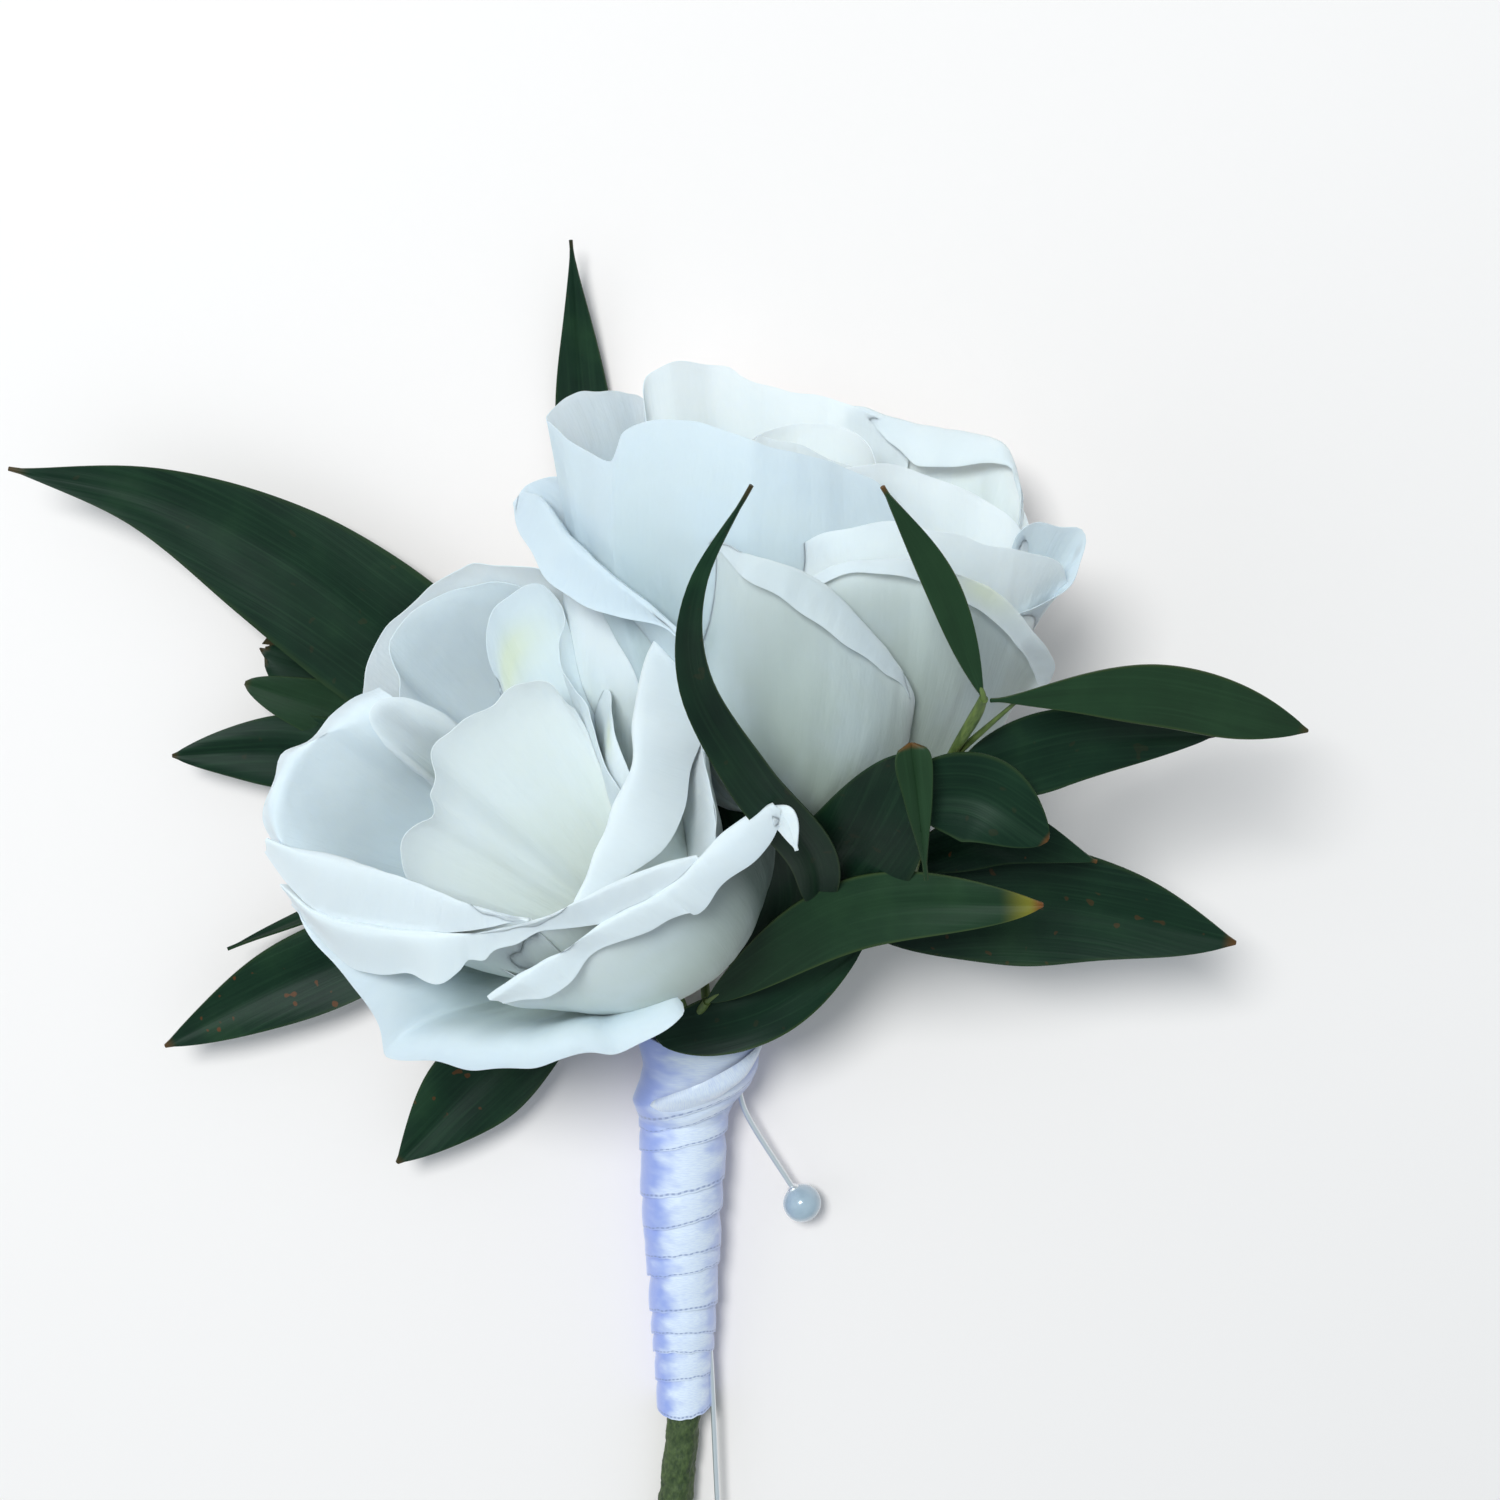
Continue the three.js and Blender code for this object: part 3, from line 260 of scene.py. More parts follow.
# Sprigs: the stem's `socket`, its `route` to the first leaf, and the leaves, whose shapes are told at
# leaf_grid. A leaf's stalk leaves the route at point `start`. `tip` is how brown its tip is, `margin` how
# pale its margin, `tone` above 0 how light it is and below 0 how strong its brown specks are, and `bite`
# how much of its end is eaten away.
SPRIGS = [
    dict(name="sprig_left", socket=(-1.04, -3.86), route=[(-9, 11, 2.2), (-17, 23, 2.4), (-21, 31, 2.8)],
      leaves=[
        dict(line=[(-23.4, 38.7, 3.3), (-36.4, 49, 5), (-49.6, 59.1, 7), (-64.6, 66.9, 9), (-80.5, 70.6, 11)],
          wide=17.8, peak=0.3, blunt=1.05, tip=0.4),
        dict(line=[(-28, 37.5, 3.2), (-42, 44.5, 1.8), (-53.8, 48.8, 3)], wide=8.8, blunt=0.35, peak=0.62,
          start=2, tip=0.25, bite=0.25),
        dict(line=[(-28, 33.2, 3.4), (-43, 40.2, 4.4), (-54.6, 44.6, 6)], wide=8.2, blunt=0.56, start=2,
          tip=0.2, tone=0.2),
        dict(line=[(-30.3, 31, 3), (-49.4, 36, 5), (-63.5, 35.8, 7)], wide=9.6, blunt=0.8, start=1, tip=0.3),
    ]),
    dict(name="sprig_lower_left", socket=(-2.83, -2.83), route=[(-7, 5.6, 3), (-17, 10.5, 3.2)], leaves=[
        dict(line=[(-25, 18, 4), (-46.8, 9, 6), (-65.5, -0.3, 8)], wide=11, peak=0.45, blunt=0.85, tip=0.5,
          tone=-1),
        dict(line=[(-32.8, 22.5, 4.4), (-46.3, 16.4, 6), (-57.4, 12.1, 8)], wide=3, roll=60, start=1, tip=0),
        dict(line=[(-12, 6.6, 4), (-26, -4.4, 5.4), (-37.4, -15.6, 7)], wide=11.6, peak=0.5, blunt=0.9,
          start=0, tip=0.3, tone=-0.7),
    ]),
    dict(name="sprig_top", socket=(1.04, -3.86), route=[(0, 12, 1.6), (-5, 26, 1.4), (-9, 38, 1.6)], leaves=[
        dict(line=[(-11.7, 47, 1.6), (-13.4, 74.9, 0.6), (-14.6, 97.2, 5)], wide=7.6, blunt=1.15, tip=0.1),
    ]),
    dict(name="sprig_centre", socket=(0, 4), route=[(3, 7, 14.5), (8, 14, 22)], leaves=[
        dict(line=[(14.6, 21.8, 28.4), (13.2, 30.4, 40), (6.6, 40.6, 51.5), (1.2, 52, 61), (1.6, 62, 69),
          (6.7, 71.6, 73)], wide=5.4, peak=0.25, tip=0.25, margin=0.6),
        dict(line=[(5.5, 11, 18.5), (10.4, 20.5, 25.5), (9.4, 33, 37)], wide=9, blunt=0.8, start=0, tip=0),
        dict(line=[(13.2, 20.5, 23.6), (18.8, 31, 36.8), (22.8, 42.4, 47.4)], wide=13.6, blunt=0.6, start=1,
          tip=0, margin=0.2),
        dict(line=[(4.5, 12, 17), (5.4, 24, 21), (2.6, 38, 24)], wide=9.4, blunt=0.8, start=0, tip=0),
    ]),
    dict(name="sprig_right", socket=(2, 3.46), route=[(6.5, 5, 12.5), (16, 12, 17), (24, 23, 28),
      (25.4, 34.5, 39.5), (27.6, 41.6, 45.4)], leaves=[
        dict(line=[(30.2, 49.3, 54.5), (25.3, 61.3, 60), (19.2, 71.1, 66)], wide=3.4, peak=0.45, tip=0.7,
          margin=0.8, tone=0.25),
        dict(line=[(31, 49.1, 54.5), (48.4, 48.6, 46), (67.4, 43.2, 36)], wide=6.8, peak=0.6, blunt=0.8,
          start=4, tip=0.3, margin=1, tone=0.25),
        dict(line=[(27.5, 39.4, 46.5), (39.9, 42.6, 43), (57.7, 42.4, 34)], wide=8.4, blunt=0.9, start=3,
          tip=0.2),
        dict(line=[(22.6, 38, 45.4), (30.4, 38, 47.6), (37.8, 33.4, 48)], wide=9.8, peak=0.45, blunt=0.62,
          start=3, tip=0.69, margin=0.5, roll=13),
        dict(line=[(25.3, 28.6, 45.4), (24.3, 36, 49), (23.2, 44.2, 51)], wide=3.9, peak=0.86, blunt=0.28,
          fold=0.45, start=3, tip=0.69, tone=0.3),
    ]),
    dict(name="sprig_low_right", socket=(2.83, -2.83), route=[(6.4, 6.6, 6.6), (13, 12, 12)], leaves=[
        dict(line=[(18, 18, 17), (40, 21, 22), (62.8, 16.6, 24)], wide=14.8, peak=0.45, blunt=0.85,
          tone=-0.4),
        dict(line=[(24, 26, 24), (35.5, 30, 28), (45.9, 27, 28)], wide=6.8, start=1, tip=0.7, tone=-1),
    ]),
    dict(name="sprig_front", socket=(-2, 3.46), route=[(-1, 4, 15.5)], leaves=[
        dict(line=[(1.5, 8.4, 19.5), (19, 22.4, 33), (38.4, 24.7, 40)], wide=8.4, peak=0.5, blunt=0.7, tip=1,
          margin=1, tone=0.15),
        dict(line=[(-4.6, 3.6, 18), (8.4, 7.3, 19), (19.6, 15.9, 23)], wide=7.6, blunt=0.7, start=0, tip=0,
          margin=1),
    ]),
]
LEAF_END = 0.4
SMALL_GRID = dict(rows=24, columns=8)
LEAF_THICK = (0.5, 0.25)
MIDRIB_DEPTH = 0.12
MIDRIB_WIDTH = 0.35
BITE_START = 0.72
BITE_ROW = 30
TWIG_RADII = (0.65, 0.5)
STALK_RADII = (0.45, 0.18)
# A leaf's stalk runs on under the leaf to this row, this deep
STALK_ROW = 4
STALK_DEPTH = 0.3
# How deep each stem stands in the bundle
STEM_DEPTH = 4.2

# The handle: place along Y, the ribbon's radius and middle, the taped bundle's radius and middle
HANDLE = np.array([
    (-72, 2.6, -3.9, 2.2, -3.9), (-60, 2.7, -2.8, 2.2, -2.8), (-50, 3.1, -1.8, 2.2, -1.8),
    (-44, 3.3, -1.9, 2.3, -1.9), (-36, 3.9, -1.9, 2.7, -1.9), (-27, 4.4, -1.9, 3.2, -1.9),
    (-21, 4.8, -2.0, 3.5, -1.9), (-10, 5.2, -1.7, 3.7, -1.6), (-7.6, 6.0, -1.6, 4.2, -1.2),
    (-5.2, 6.6, -0.2, 5.2, -0.3), (-3, 6.9, 0.3, 5.4, 0.1), (1.2, 7.3, 0.3, 5.4, 0.3),
])
BACK_CUT = 0.35
BUNDLE_TOP = 0.4
BUNDLE_END = -72
TAPE_PITCH = 5.5
TAPE_STEP = 0.14
TAPE_LOWEST = 0.05

# Each ribbon turn's lower edge: its middle along Y, its rise at the right and how far it hangs in front
SEAMS = [
    (-6.6, 2.8, 1.4), (-9.2, 1.9, 0.6), (-13.1, 1.3, -0.5), (-19.2, 1.1, -0.4), (-23.3, 1.3, -0.3),
    (-28.0, 0.7, -0.8), (-30.3, 0.9, -0.6), (-35.6, 0.5, -0.9), (-39.3, 0.1, -1.4), (-41.8, 0.1, -1.3),
    (-45.3, 0.5, -0.9), (-49.0, 0.3, 0.8),
]
RIBBON_COLUMNS = 110
RIBBON_TOP = 1.0
RIBBON_LAP = 2.2
RIBBON_THICK = 0.22
RIBBON_SINK = 0.15
RIBBON_PROUD = 0.34
RIBBON_CREASE = 0.13
RIBBON_STEP = 0.3
RIBBON_LOWEST = 0.16
COLLAR_SLANT = 0.9
COLLAR_FLARE = 0.9
# Half of the thin break at the back of each turn, in radians
RIBBON_BREAK = 0.003
# The twisted fold over the collar: place along Y, angle round the handle and how far it stands out
COLLAR_FOLD = [
    (0.2, 10, 0.3), (-0.9, 32, 1.0), (-2.5, 52, 1.3), (-4.5, 80, 1.3), (-6.4, 114, 1.0), (-7.2, 140, 0.1),
]
COLLAR_FOLD_WIDTH = 3.4

# The pins: the pearl's middle, and the shaft's path from it. The point is a share of the shaft.
PIN_RADIUS = 0.35
PIN_POINT = 0.07
PEARL_RADIUS = 2.4
PEARL_SEAT = 0.5
# The collar under the pearl: distance past the pearl's surface, and radius
PIN_COLLAR = [(-0.35, 0.5), (-0.2, 0.75), (0.05, 0.75), (0.2, 0.6), (0.3, 0.36)]
PINS = [
    dict(name="pin_upper", pearl=(13.2, -22.2, 3), path=[(6, -9.8, 4), (5.2, -6.5, 4.6), (4.6, -1.6, 5.4)]),
    dict(name="pin_lower", pearl=(3.2, -76, 3), path=[(2.4, -62, 3.4), (1.5, -41, 4), (0.2, -24, 4.5)]),
]

# Plain materials: the shader's numbers, the noise's stretch, scale and detail, the two colours and where
# in the noise they lie, and the bump's strength and depth
PLAIN = {
    "twig": (dict(Roughness=0.5), ((1, 0.3), 1.5, 3),
             ((0.3, (0.045, 0.08, 0.018)), (0.7, (0.15, 0.20, 0.045))), (0.3, 0.15)),
    "rose_stem": (dict(Roughness=0.5), ((1, 0.3), 1, 3),
                  ((0.3, (0.10, 0.17, 0.04)), (0.7, (0.22, 0.32, 0.09))), (0.3, 0.2)),
    "tape": (dict(Roughness=0.6), ((0.7, 1), 1.2, 5),
             ((0.3, (0.022, 0.042, 0.010)), (0.75, (0.09, 0.13, 0.036))), (0.6, 0.5)),
    "pin_steel": (dict(Metallic=0.75, Roughness=0.3), ((3, 0.2), 1, 2),
                  ((0, (0.82, 0.83, 0.85)), (1, (0.97, 0.97, 0.98))), (0.1, 0.02)),
    "pearl": (dict(Roughness=0.22, Coat_Weight=0.8, Coat_Roughness=0.08, Sheen_Weight=0.3), ((1, 1), 0.6, 2),
              ((0, (0.32, 0.40, 0.48)), (1, (0.50, 0.58, 0.66))), None),
}


# Curves and surfaces
def ease(x):
    x = np.clip(x, 0, 1)
    return x * x * (3 - 2 * x)


def span(count):
    return np.linspace(0, 1, count)


def unit(vectors):
    return vectors / np.maximum(np.linalg.norm(vectors, axis=-1, keepdims=True), 1e-9)


def join(*parts):
    """Vectors from their coordinates, which are numbers or arrays that fit together."""
    return np.stack(np.broadcast_arrays(*parts), -1)


def lengths(points):
    """How long the line through the points is up to each of them."""
    return np.concatenate([[0], np.cumsum(np.linalg.norm(np.diff(points, axis=0), axis=1))])


def catmull(points, t):
    """Points at t, from 0 to 1, of the centripetal Catmull-Rom curve through the points."""
    points = np.array(points, float)
    ends = np.array([2 * points[0] - points[1], *points, 2 * points[-1] - points[-2]])
    first = np.minimum((t * (len(points) - 1)).astype(int), len(points) - 2)
    w = (t * (len(points) - 1) - first)[:, None]
    a, b, c, d = [ends[first + k] for k in range(4)]
    s, m, e = [np.maximum(np.linalg.norm(q - p, axis=1, keepdims=True), 1e-6) ** 0.5
               for p, q in ((a, b), (b, c), (c, d))]
    leave = ((b - a) / s - (c - a) / (s + m) + (c - b) / m) * m
    reach = ((c - b) / m - (d - b) / (m + e) + (d - c) / e) * m
    square, cube = 3 * (c - b) - 2 * leave - reach, 2 * (b - c) + leave + reach
    return b + leave * w + square * w ** 2 + cube * w ** 3


def evenly(points, count):
    """`count` points spaced evenly along the smooth curve through the points."""
    fine = catmull(points, span(24 * len(points)))
    length = lengths(fine)
    places = np.linspace(0, length[-1], count)
    return join(*[np.interp(places, length, part) for part in fine.T])


def ripple(u, v, seed, count, high, high_u=None):
    """A smooth random wave over u and v, about -1 to 1: so many sines, up to so many waves across."""
    random = np.random.default_rng(seed)
    total = np.zeros(np.broadcast(u, v).shape)
    for _ in range(count):
        a, b = random.uniform(-1, 1, 2) * (high if high_u is None else high_u, high)
        total = total + np.sin(2 * np.pi * (a * u + b * v / 2 + random.random()))
    return total / math.sqrt(count)


def normals_of(grid):
    return unit(np.cross(np.gradient(grid, axis=0), np.gradient(grid, axis=1)))


def put(name, data):
    """A new object of the scene."""
    made = bpy.data.objects.new(name, data)
    bpy.context.scene.collection.objects.link(made)
    return made


class Pieces:
    """Gathers blades and tubes into one mesh. Every point carries three vectors that the materials
    read: `mm` is its place in millimetres across and along the blade and a number for the blade, `place`
    the same as shares (-1 to 1 across or 0 to 1 round, and 0 to 1 along), and `mark` what is special
    about the blade there."""

    def __init__(self):
        self.points, self.faces, self.values = [], [], {"mm": [], "place": [], "mark": []}
        self.count = 0

    def add(self, points, faces, *vectors):
        self.faces.extend((np.array(faces) + self.count).tolist())
        self.points.append(points.reshape(-1, 3))
        self.count += len(self.points[-1])
        for stack, vector in zip(self.values.values(), vectors):
            stack.append(np.broadcast_to(join(*vector), points.shape).reshape(-1, 3))

    def blade(self, middle, thick, mm, place, mark=(0, 0, 0)):
        """A thin closed blade about a grid of points."""
        lift = normals_of(middle) * np.broadcast_to(thick, middle.shape[:2])[..., None] / 2
        index = np.arange(middle.size // 3).reshape(middle.shape[:2])
        corners = index[:-1, :-1], index[1:, :-1], index[1:, 1:], index[:-1, 1:]
        top = np.stack([corner.ravel() for corner in corners], 1)
        loop = np.concatenate([index[:-1, 0], index[-1, :-1], index[:0:-1, -1], index[0, :0:-1]])
        ahead = np.roll(loop, -1)
        border = np.stack([ahead, loop, loop + index.size, ahead + index.size], 1)
        self.add(np.stack([middle + lift, middle - lift]),
                 np.concatenate([top, top[:, ::-1] + index.size, border]), mm, place, mark)

    def skin(self, rings, seed):
        """A closed skin over rings of points, flat at both ends."""
        rings = np.array(rings, float)
        sides = rings.shape[1]
        index = np.arange(rings.size // 3).reshape(-1, sides)
        turned = np.roll(index, -1, axis=1)
        faces = np.stack([index[:-1], turned[:-1], turned[1:], index[1:]], 2).reshape(-1, 4)
        ends = [(end + self.count).tolist() for end in (index[0, ::-1], index[-1])]
        along = lengths(rings.mean(axis=1))[:, None]
        turn = np.linspace(0, 1, sides, endpoint=False)
        girth = np.linalg.norm(np.roll(rings, -1, axis=1) - rings, axis=2).sum(axis=1).max()
        self.add(rings, faces, (turn * girth, along, seed), (turn, along / along[-1], 0), (0, 0, 0))
        self.faces.extend(ends)

    def tube(self, line, radii, sides, seed):
        """A round tube along the points, with one radius for each."""
        line = np.array(line, float)
        ahead = unit(np.gradient(line, axis=0))
        side = np.cross(ahead[0], (0.3, 0.2, 1.0))
        angles = np.linspace(0, 2 * np.pi, sides, endpoint=False)
        rings = []
        for point, forward, radius in zip(line, ahead, radii):
            side = unit(side - forward * (side @ forward))
            ring = np.outer(np.cos(angles), side) + np.outer(np.sin(angles), np.cross(forward, side))
            rings.append(point + radius * ring)
        self.skin(rings, seed)

    def build(self, name, surface, slot, node):
        """The mesh as one piece of the body, in place of a node of the frame."""
        mesh = bpy.data.meshes.new(name)
        mesh.from_pydata(np.concatenate(self.points) * MM, [], self.faces)
        for key, stack in self.values.items():
            attribute = mesh.attributes.new(key, "FLOAT_VECTOR", "POINT")
            attribute.data.foreach_set("vector", np.concatenate(stack).ravel())
        mesh.shade_smooth()
        mesh.set_sharp_from_angle(angle=SHARP_EDGE)
        mesh.materials.append(surface)
        piece = put(name, mesh)
        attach(piece, BODY)
        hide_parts(node)


# Materials
class Surface:
    """A material around one Principled shader, with short calls for the nodes that feed it."""

    def __init__(self, name, **sockets):
        self.material = bpy.data.materials.new(name)
        self.material.use_nodes = True
        self.tree = self.material.node_tree
        self.shader = self.tree.nodes["Principled BSDF"]
        for key, value in sockets.items():
            self.set(self.shader, key.replace("_", " "), value)

    def set(self, node, key, value):
        socket = node.inputs[key]
        if isinstance(value, bpy.types.NodeSocket):
            self.tree.links.new(value, socket)
        else:
            socket.default_value = (*value, 1) if socket.type == "RGBA" else value

    def node(self, kind, settings=None, **sockets):
        """A new node. A socket is named, or numbered as i0, i1 and so on."""
        made = self.tree.nodes.new("ShaderNode" + kind)
        for key, value in (settings or {}).items():
            setattr(made, key, value)
        for key, value in sockets.items():
            self.set(made, int(key[1:]) if key[0] == "i" else key, value)
        return made

    def read(self, *names):
        """The three parts of each of these vectors of the mesh."""
        vectors = [self.node("Attribute", {"attribute_name": name}).outputs["Vector"] for name in names]
        return [self.node("SeparateXYZ", i0=vector).outputs[:] for vector in vectors]

    def math(self, operation, a, b=0.0):
        return self.node("Math", {"operation": operation}, i0=a, i1=b).outputs[0]

    def times(self, a, b):
        return self.math("MULTIPLY", a, b)

    def remap(self, value, low, high, start=0.0, end=1.0):
        kind = {"interpolation_type": "SMOOTHSTEP"}
        return self.node("MapRange", kind, i0=value, i1=low, i2=high, i3=start, i4=end).outputs[0]

    def noise(self, at, stretch=(1, 1), scale=1, detail=2):
        """Noise over three coordinates, of which the first two are stretched."""
        x, y = [value if share == 1 else self.times(value, share) for value, share in zip(at, stretch)]
        vector = self.node("CombineXYZ", i0=x, i1=y, i2=at[2]).outputs[0]
        return self.node("TexNoise", Vector=vector, Scale=scale, Detail=detail).outputs["Fac"]

    def mix(self, share, first, second):
        return self.node("Mix", {"data_type": "RGBA"}, i0=share, i6=first, i7=second).outputs[2]

    def ramp(self, share, *stops):
        made = self.node("ValToRGB", i0=share)
        elements = made.color_ramp.elements
        for n, (position, colour) in enumerate(stops):
            element = elements[n] if n < 2 else elements.new(position)
            element.position = position
            element.color = (*colour, 1)
        return made.outputs[0]

    def bump(self, height, strength, depth_mm):
        made = self.node("Bump", Strength=strength, Distance=depth_mm * MM, Height=height)
        previous = self.shader.inputs["Normal"].links
        if previous:
            self.tree.links.new(previous[0].from_socket, made.inputs["Normal"])
        self.set(self.shader, "Normal", made.outputs[0])

    def paint(self, colour):
        """The finished material, in this colour."""
        self.set(self.shader, "Base Color", colour)
        return self.material


def plain_surface(name):
    sockets, noise, stops, bump = PLAIN[name]
    look = Surface(name, **sockets)
    cloud = look.noise(*look.read("mm"), *noise)
    if bump:
        look.bump(cloud, *bump)
    return look.paint(look.ramp(cloud, *stops))


def petal_surface():
    look = Surface("petal", Roughness=0.55, Subsurface_Weight=0.8, Subsurface_Scale=0.4 * MM,
                   Subsurface_Radius=(1.0, 0.95, 0.85), Specular_IOR_Level=0.3)
    mm, place, (warmth_and_cool_shade, spot, painted_shade_share) = look.read("mm", "place", "mark")
    # Greener towards the foot, as a petal's base is, and darker there too: painted shade deep in the bloom
    foot_green_and_shade = look.ramp(
        place[1], (0.0, (0.30, 0.34, 0.25)), (0.28, (0.54, 0.59, 0.51)), (0.52, (0.75, 0.80, 0.76)),
        (0.78, (0.90, 0.93, 0.92)), (1.0, (0.90, 0.94, 0.97)),
    )
    cloud = look.noise(mm, scale=0.09, detail=3)
    tinted = look.mix(look.remap(cloud, 0.4, 0.7, 0, 0.4), foot_green_and_shade, (0.84, 0.90, 0.97))
    # The mark's first part: above 0 it mixes in cream; below 0 a darker blue, a painted cool shade
    warm = look.mix(look.times(warmth_and_cool_shade, 0.35), tinted, (0.93, 0.90, 0.88))
    cool_shade = look.mix(look.times(warmth_and_cool_shade, -0.5), warm, (0.60, 0.75, 0.95))
    # Painted shade: darker towards a grey green where the petal's mark asks for it
    painted_shade = look.mix(painted_shade_share, cool_shade, (0.13, 0.16, 0.14))
    yellow = look.mix(look.times(spot, 0.5), painted_shade, (0.82, 0.82, 0.40))
    look.bump(look.noise((place[0], place[1], mm[2]), (26, 1.4), detail=3), 0.25, 0.22)
    look.bump(look.noise(mm, (1, 0.4), 0.3, 3), 0.3, 0.7)
    return look.paint(look.mix(look.times(spot, -0.7), yellow, (0.16, 0.10, 0.04)))


def leaf_surface():
    look = Surface("leaf", Roughness=0.48, Specular_IOR_Level=0.16)
    mm, place, (browning, pale_margin, tone) = look.read("mm", "place", "mark")
    lines = look.noise(mm, (2.6, 0.05), detail=4)
    cloud = look.noise(mm, scale=0.12, detail=3)
    green = look.ramp(
        cloud, (0.25, (0.003, 0.015, 0.008)), (0.55, (0.006, 0.026, 0.012)), (0.8, (0.014, 0.045, 0.018)),
    )
    lined = look.mix(look.remap(lines, 0.45, 0.75, 0, 0.35), green, (0.02, 0.056, 0.026))
    lighter = look.mix(tone, lined, (0.045, 0.10, 0.035))
    speck = look.remap(look.noise(mm, scale=0.55, detail=1), 0.70, 0.74)
    specks = look.mix(look.times(speck, look.times(tone, -1)), lighter, (0.10, 0.035, 0.01))
    edge = look.remap(look.math("ABSOLUTE", place[0]), 0.9, 1.0)
    margin = look.mix(look.times(edge, pale_margin), specks, (0.035, 0.06, 0.018))
    yellow = look.times(look.remap(place[1], 0.88, 0.98), look.remap(browning, 0.7, 1.0))
    paler = look.mix(look.times(yellow, 0.7), margin, (0.26, 0.22, 0.02))
    tip = look.times(look.remap(place[1], 0.96, 0.999), browning)
    look.bump(lines, 0.3, 0.15)
    return look.paint(look.mix(tip, paler, (0.17, 0.06, 0.015)))


def ribbon_surface():
    look = Surface("satin", Roughness=0.3, Specular_IOR_Level=0.7, Anisotropic=0.4, Sheen_Weight=0.3)
    mm, place = look.read("mm", "place")
    weave = look.noise(mm, (1.2, 9))
    # Painted highlight a little right of the handle's top, painted shade down both sides; noise wobbles the
    # border
    highlight_wobble = look.noise(mm, (0.25, 0.5))
    round_it = look.math("ADD", place[0], look.times(look.math("SUBTRACT", highlight_wobble, 0.5), 0.5))
    left, right = look.remap(round_it, -0.02, 0.3), look.remap(round_it, -0.14, -0.42, 0, 0.7)
    painted_highlight_and_shade = look.mix(look.math("MAXIMUM", left, right), (0.84, 0.87, 0.97), (0.31, 0.38, 0.78))
    woven = look.mix(look.remap(weave, 0.35, 0.7, 0, 0.25), painted_highlight_and_shade, (0.40, 0.46, 0.85))
    dashes = look.remap(look.math("SINE", look.times(mm[0], 9.0)), -0.6, 0.4, 0.45, 1)
    line = look.times(look.remap(place[1], 0.93, 0.95), look.remap(place[1], 0.98, 0.965))
    look.bump(weave, 0.2, 0.08)
    return look.paint(look.mix(look.times(look.times(line, dashes), 0.75), woven, (0.20, 0.24, 0.45)))


# Roses
def in_rose(rose, points):
    """Points of the rose's own frame, whose last axis runs up its middle, in the frame of the whole."""
    up = unit(np.array(rose["axis"], float))
    right = unit(np.array([1.0, 0, 0]) - up[0] * up)
    return np.array(points, float) @ np.stack([right, np.cross(up, right), up]) + np.array(rose["base"])


def across(values, v):
    """One value all along the margin, or the curve through three of them at -1, 0 and 1."""
    first, middle, second = values if isinstance(values, tuple) else (values,) * 3
    return middle + (second - first) / 2 * v + ((first + second) / 2 - middle) * v * v


def bezier(points, t):
    while len(points) > 1:
        points = [a + (b - a) * t for a, b in zip(points, points[1:])]
    return points[0]


def round_axis(points):
    """Points in a rose's frame from their angles, distances from the axis and heights."""
    angle, radius, height = np.array(points, float).T
    turn = np.radians(angle)
    return join(radius * np.cos(turn), radius * np.sin(turn), height)


def outward(points, slope):
    """The directions with these slopes that lead away from the axis at the points."""
    angle = np.radians(slope)[:, None]
    return unit(points * (1, 1, 0)) * np.cos(angle) + np.array([0, 0, 1.0]) * np.sin(angle)


def petal_grid(seed, rim, lean, edge=None, drop=0, foot=4, belly=0, heel=None, fall=10, pleats=None,
               ragged=0.1, step=0.8, **shade):
    """A petal as a grid of points in its rose's frame, with u from its foot to its margin and v along
    the margin."""
    margin = round_axis(rim)
    long = lengths(margin)[-1]
    count = int(long / step) + 8
    v = np.linspace(-1, 1, count)
    rim = evenly(margin, count)
    uneven = ragged * ripple(0, v, seed + 1, 6, long / 5) + MARGIN_WAVE * ripple(0, v, seed, 3, 2.5)
    uneven, slope = uneven[:, None], outward(rim, across(lean, v))
    turn = np.unwrap(np.arctan2(rim[:, 1], rim[:, 0]))
    middle = (turn.max() + turn.min()) / 2
    swell = across(belly, v)

    def below(radius, height, spread):
        here = middle + (turn - middle) * spread
        return join(radius * np.cos(here), radius * np.sin(here), height)

    if heel:
        apart = rim - rim.mean(axis=0)
        low, waist = [point + share * apart for point, share in zip(round_axis(heel), (0.1, 0.45))]
    else:
        low, waist = below(foot + 0.8 * swell, PETAL_FOOT, 0.5), below(foot + swell, 0.45 * rim[:, 2], 0.95)
    before = rim - slope * across(fall, v)[:, None]
    profile = [below(foot, PETAL_FOOT, 0.35), low, waist, before, rim if edge else rim + slope * uneven]
    rows = [bezier(profile, t) for t in 1 - (1 - span(PETAL_ROWS)) ** 1.4]
    u = np.linspace(0, ROLL_START if edge else 1, PETAL_ROWS)
    if edge:
        edge = evenly(round_axis(edge), count)
        last = outward(edge, across(drop, v))
        reach = 0.45 * np.linalg.norm(edge - rim, axis=1, keepdims=True)
        edge = edge + last * uneven
        over = [rim, rim + slope * reach, edge - last * reach, edge]
        rows += [bezier(over, t) for t in span(ROLL_ROWS + 1)[1:]]
        u = np.concatenate([u, np.linspace(ROLL_START, 1, ROLL_ROWS + 1)[1:]])
    grid, u, v = np.array(rows), u[:, None], v[None, :]
    sway = PETAL_WAVE * ripple(u, v, seed + 4, 4, 2.5, 1.5)
    sway = sway + PETAL_RIPPLE * ripple(u, v, seed + 5, 6, long / 3, 0.3)
    if pleats:
        sway = sway + pleats[0] * ripple(u, v, seed + 3, 7, pleats[1], 0.2) * ease(1.3 * u)
    return grid + normals_of(grid) * (sway * ease(u * 2))[..., None], u, v


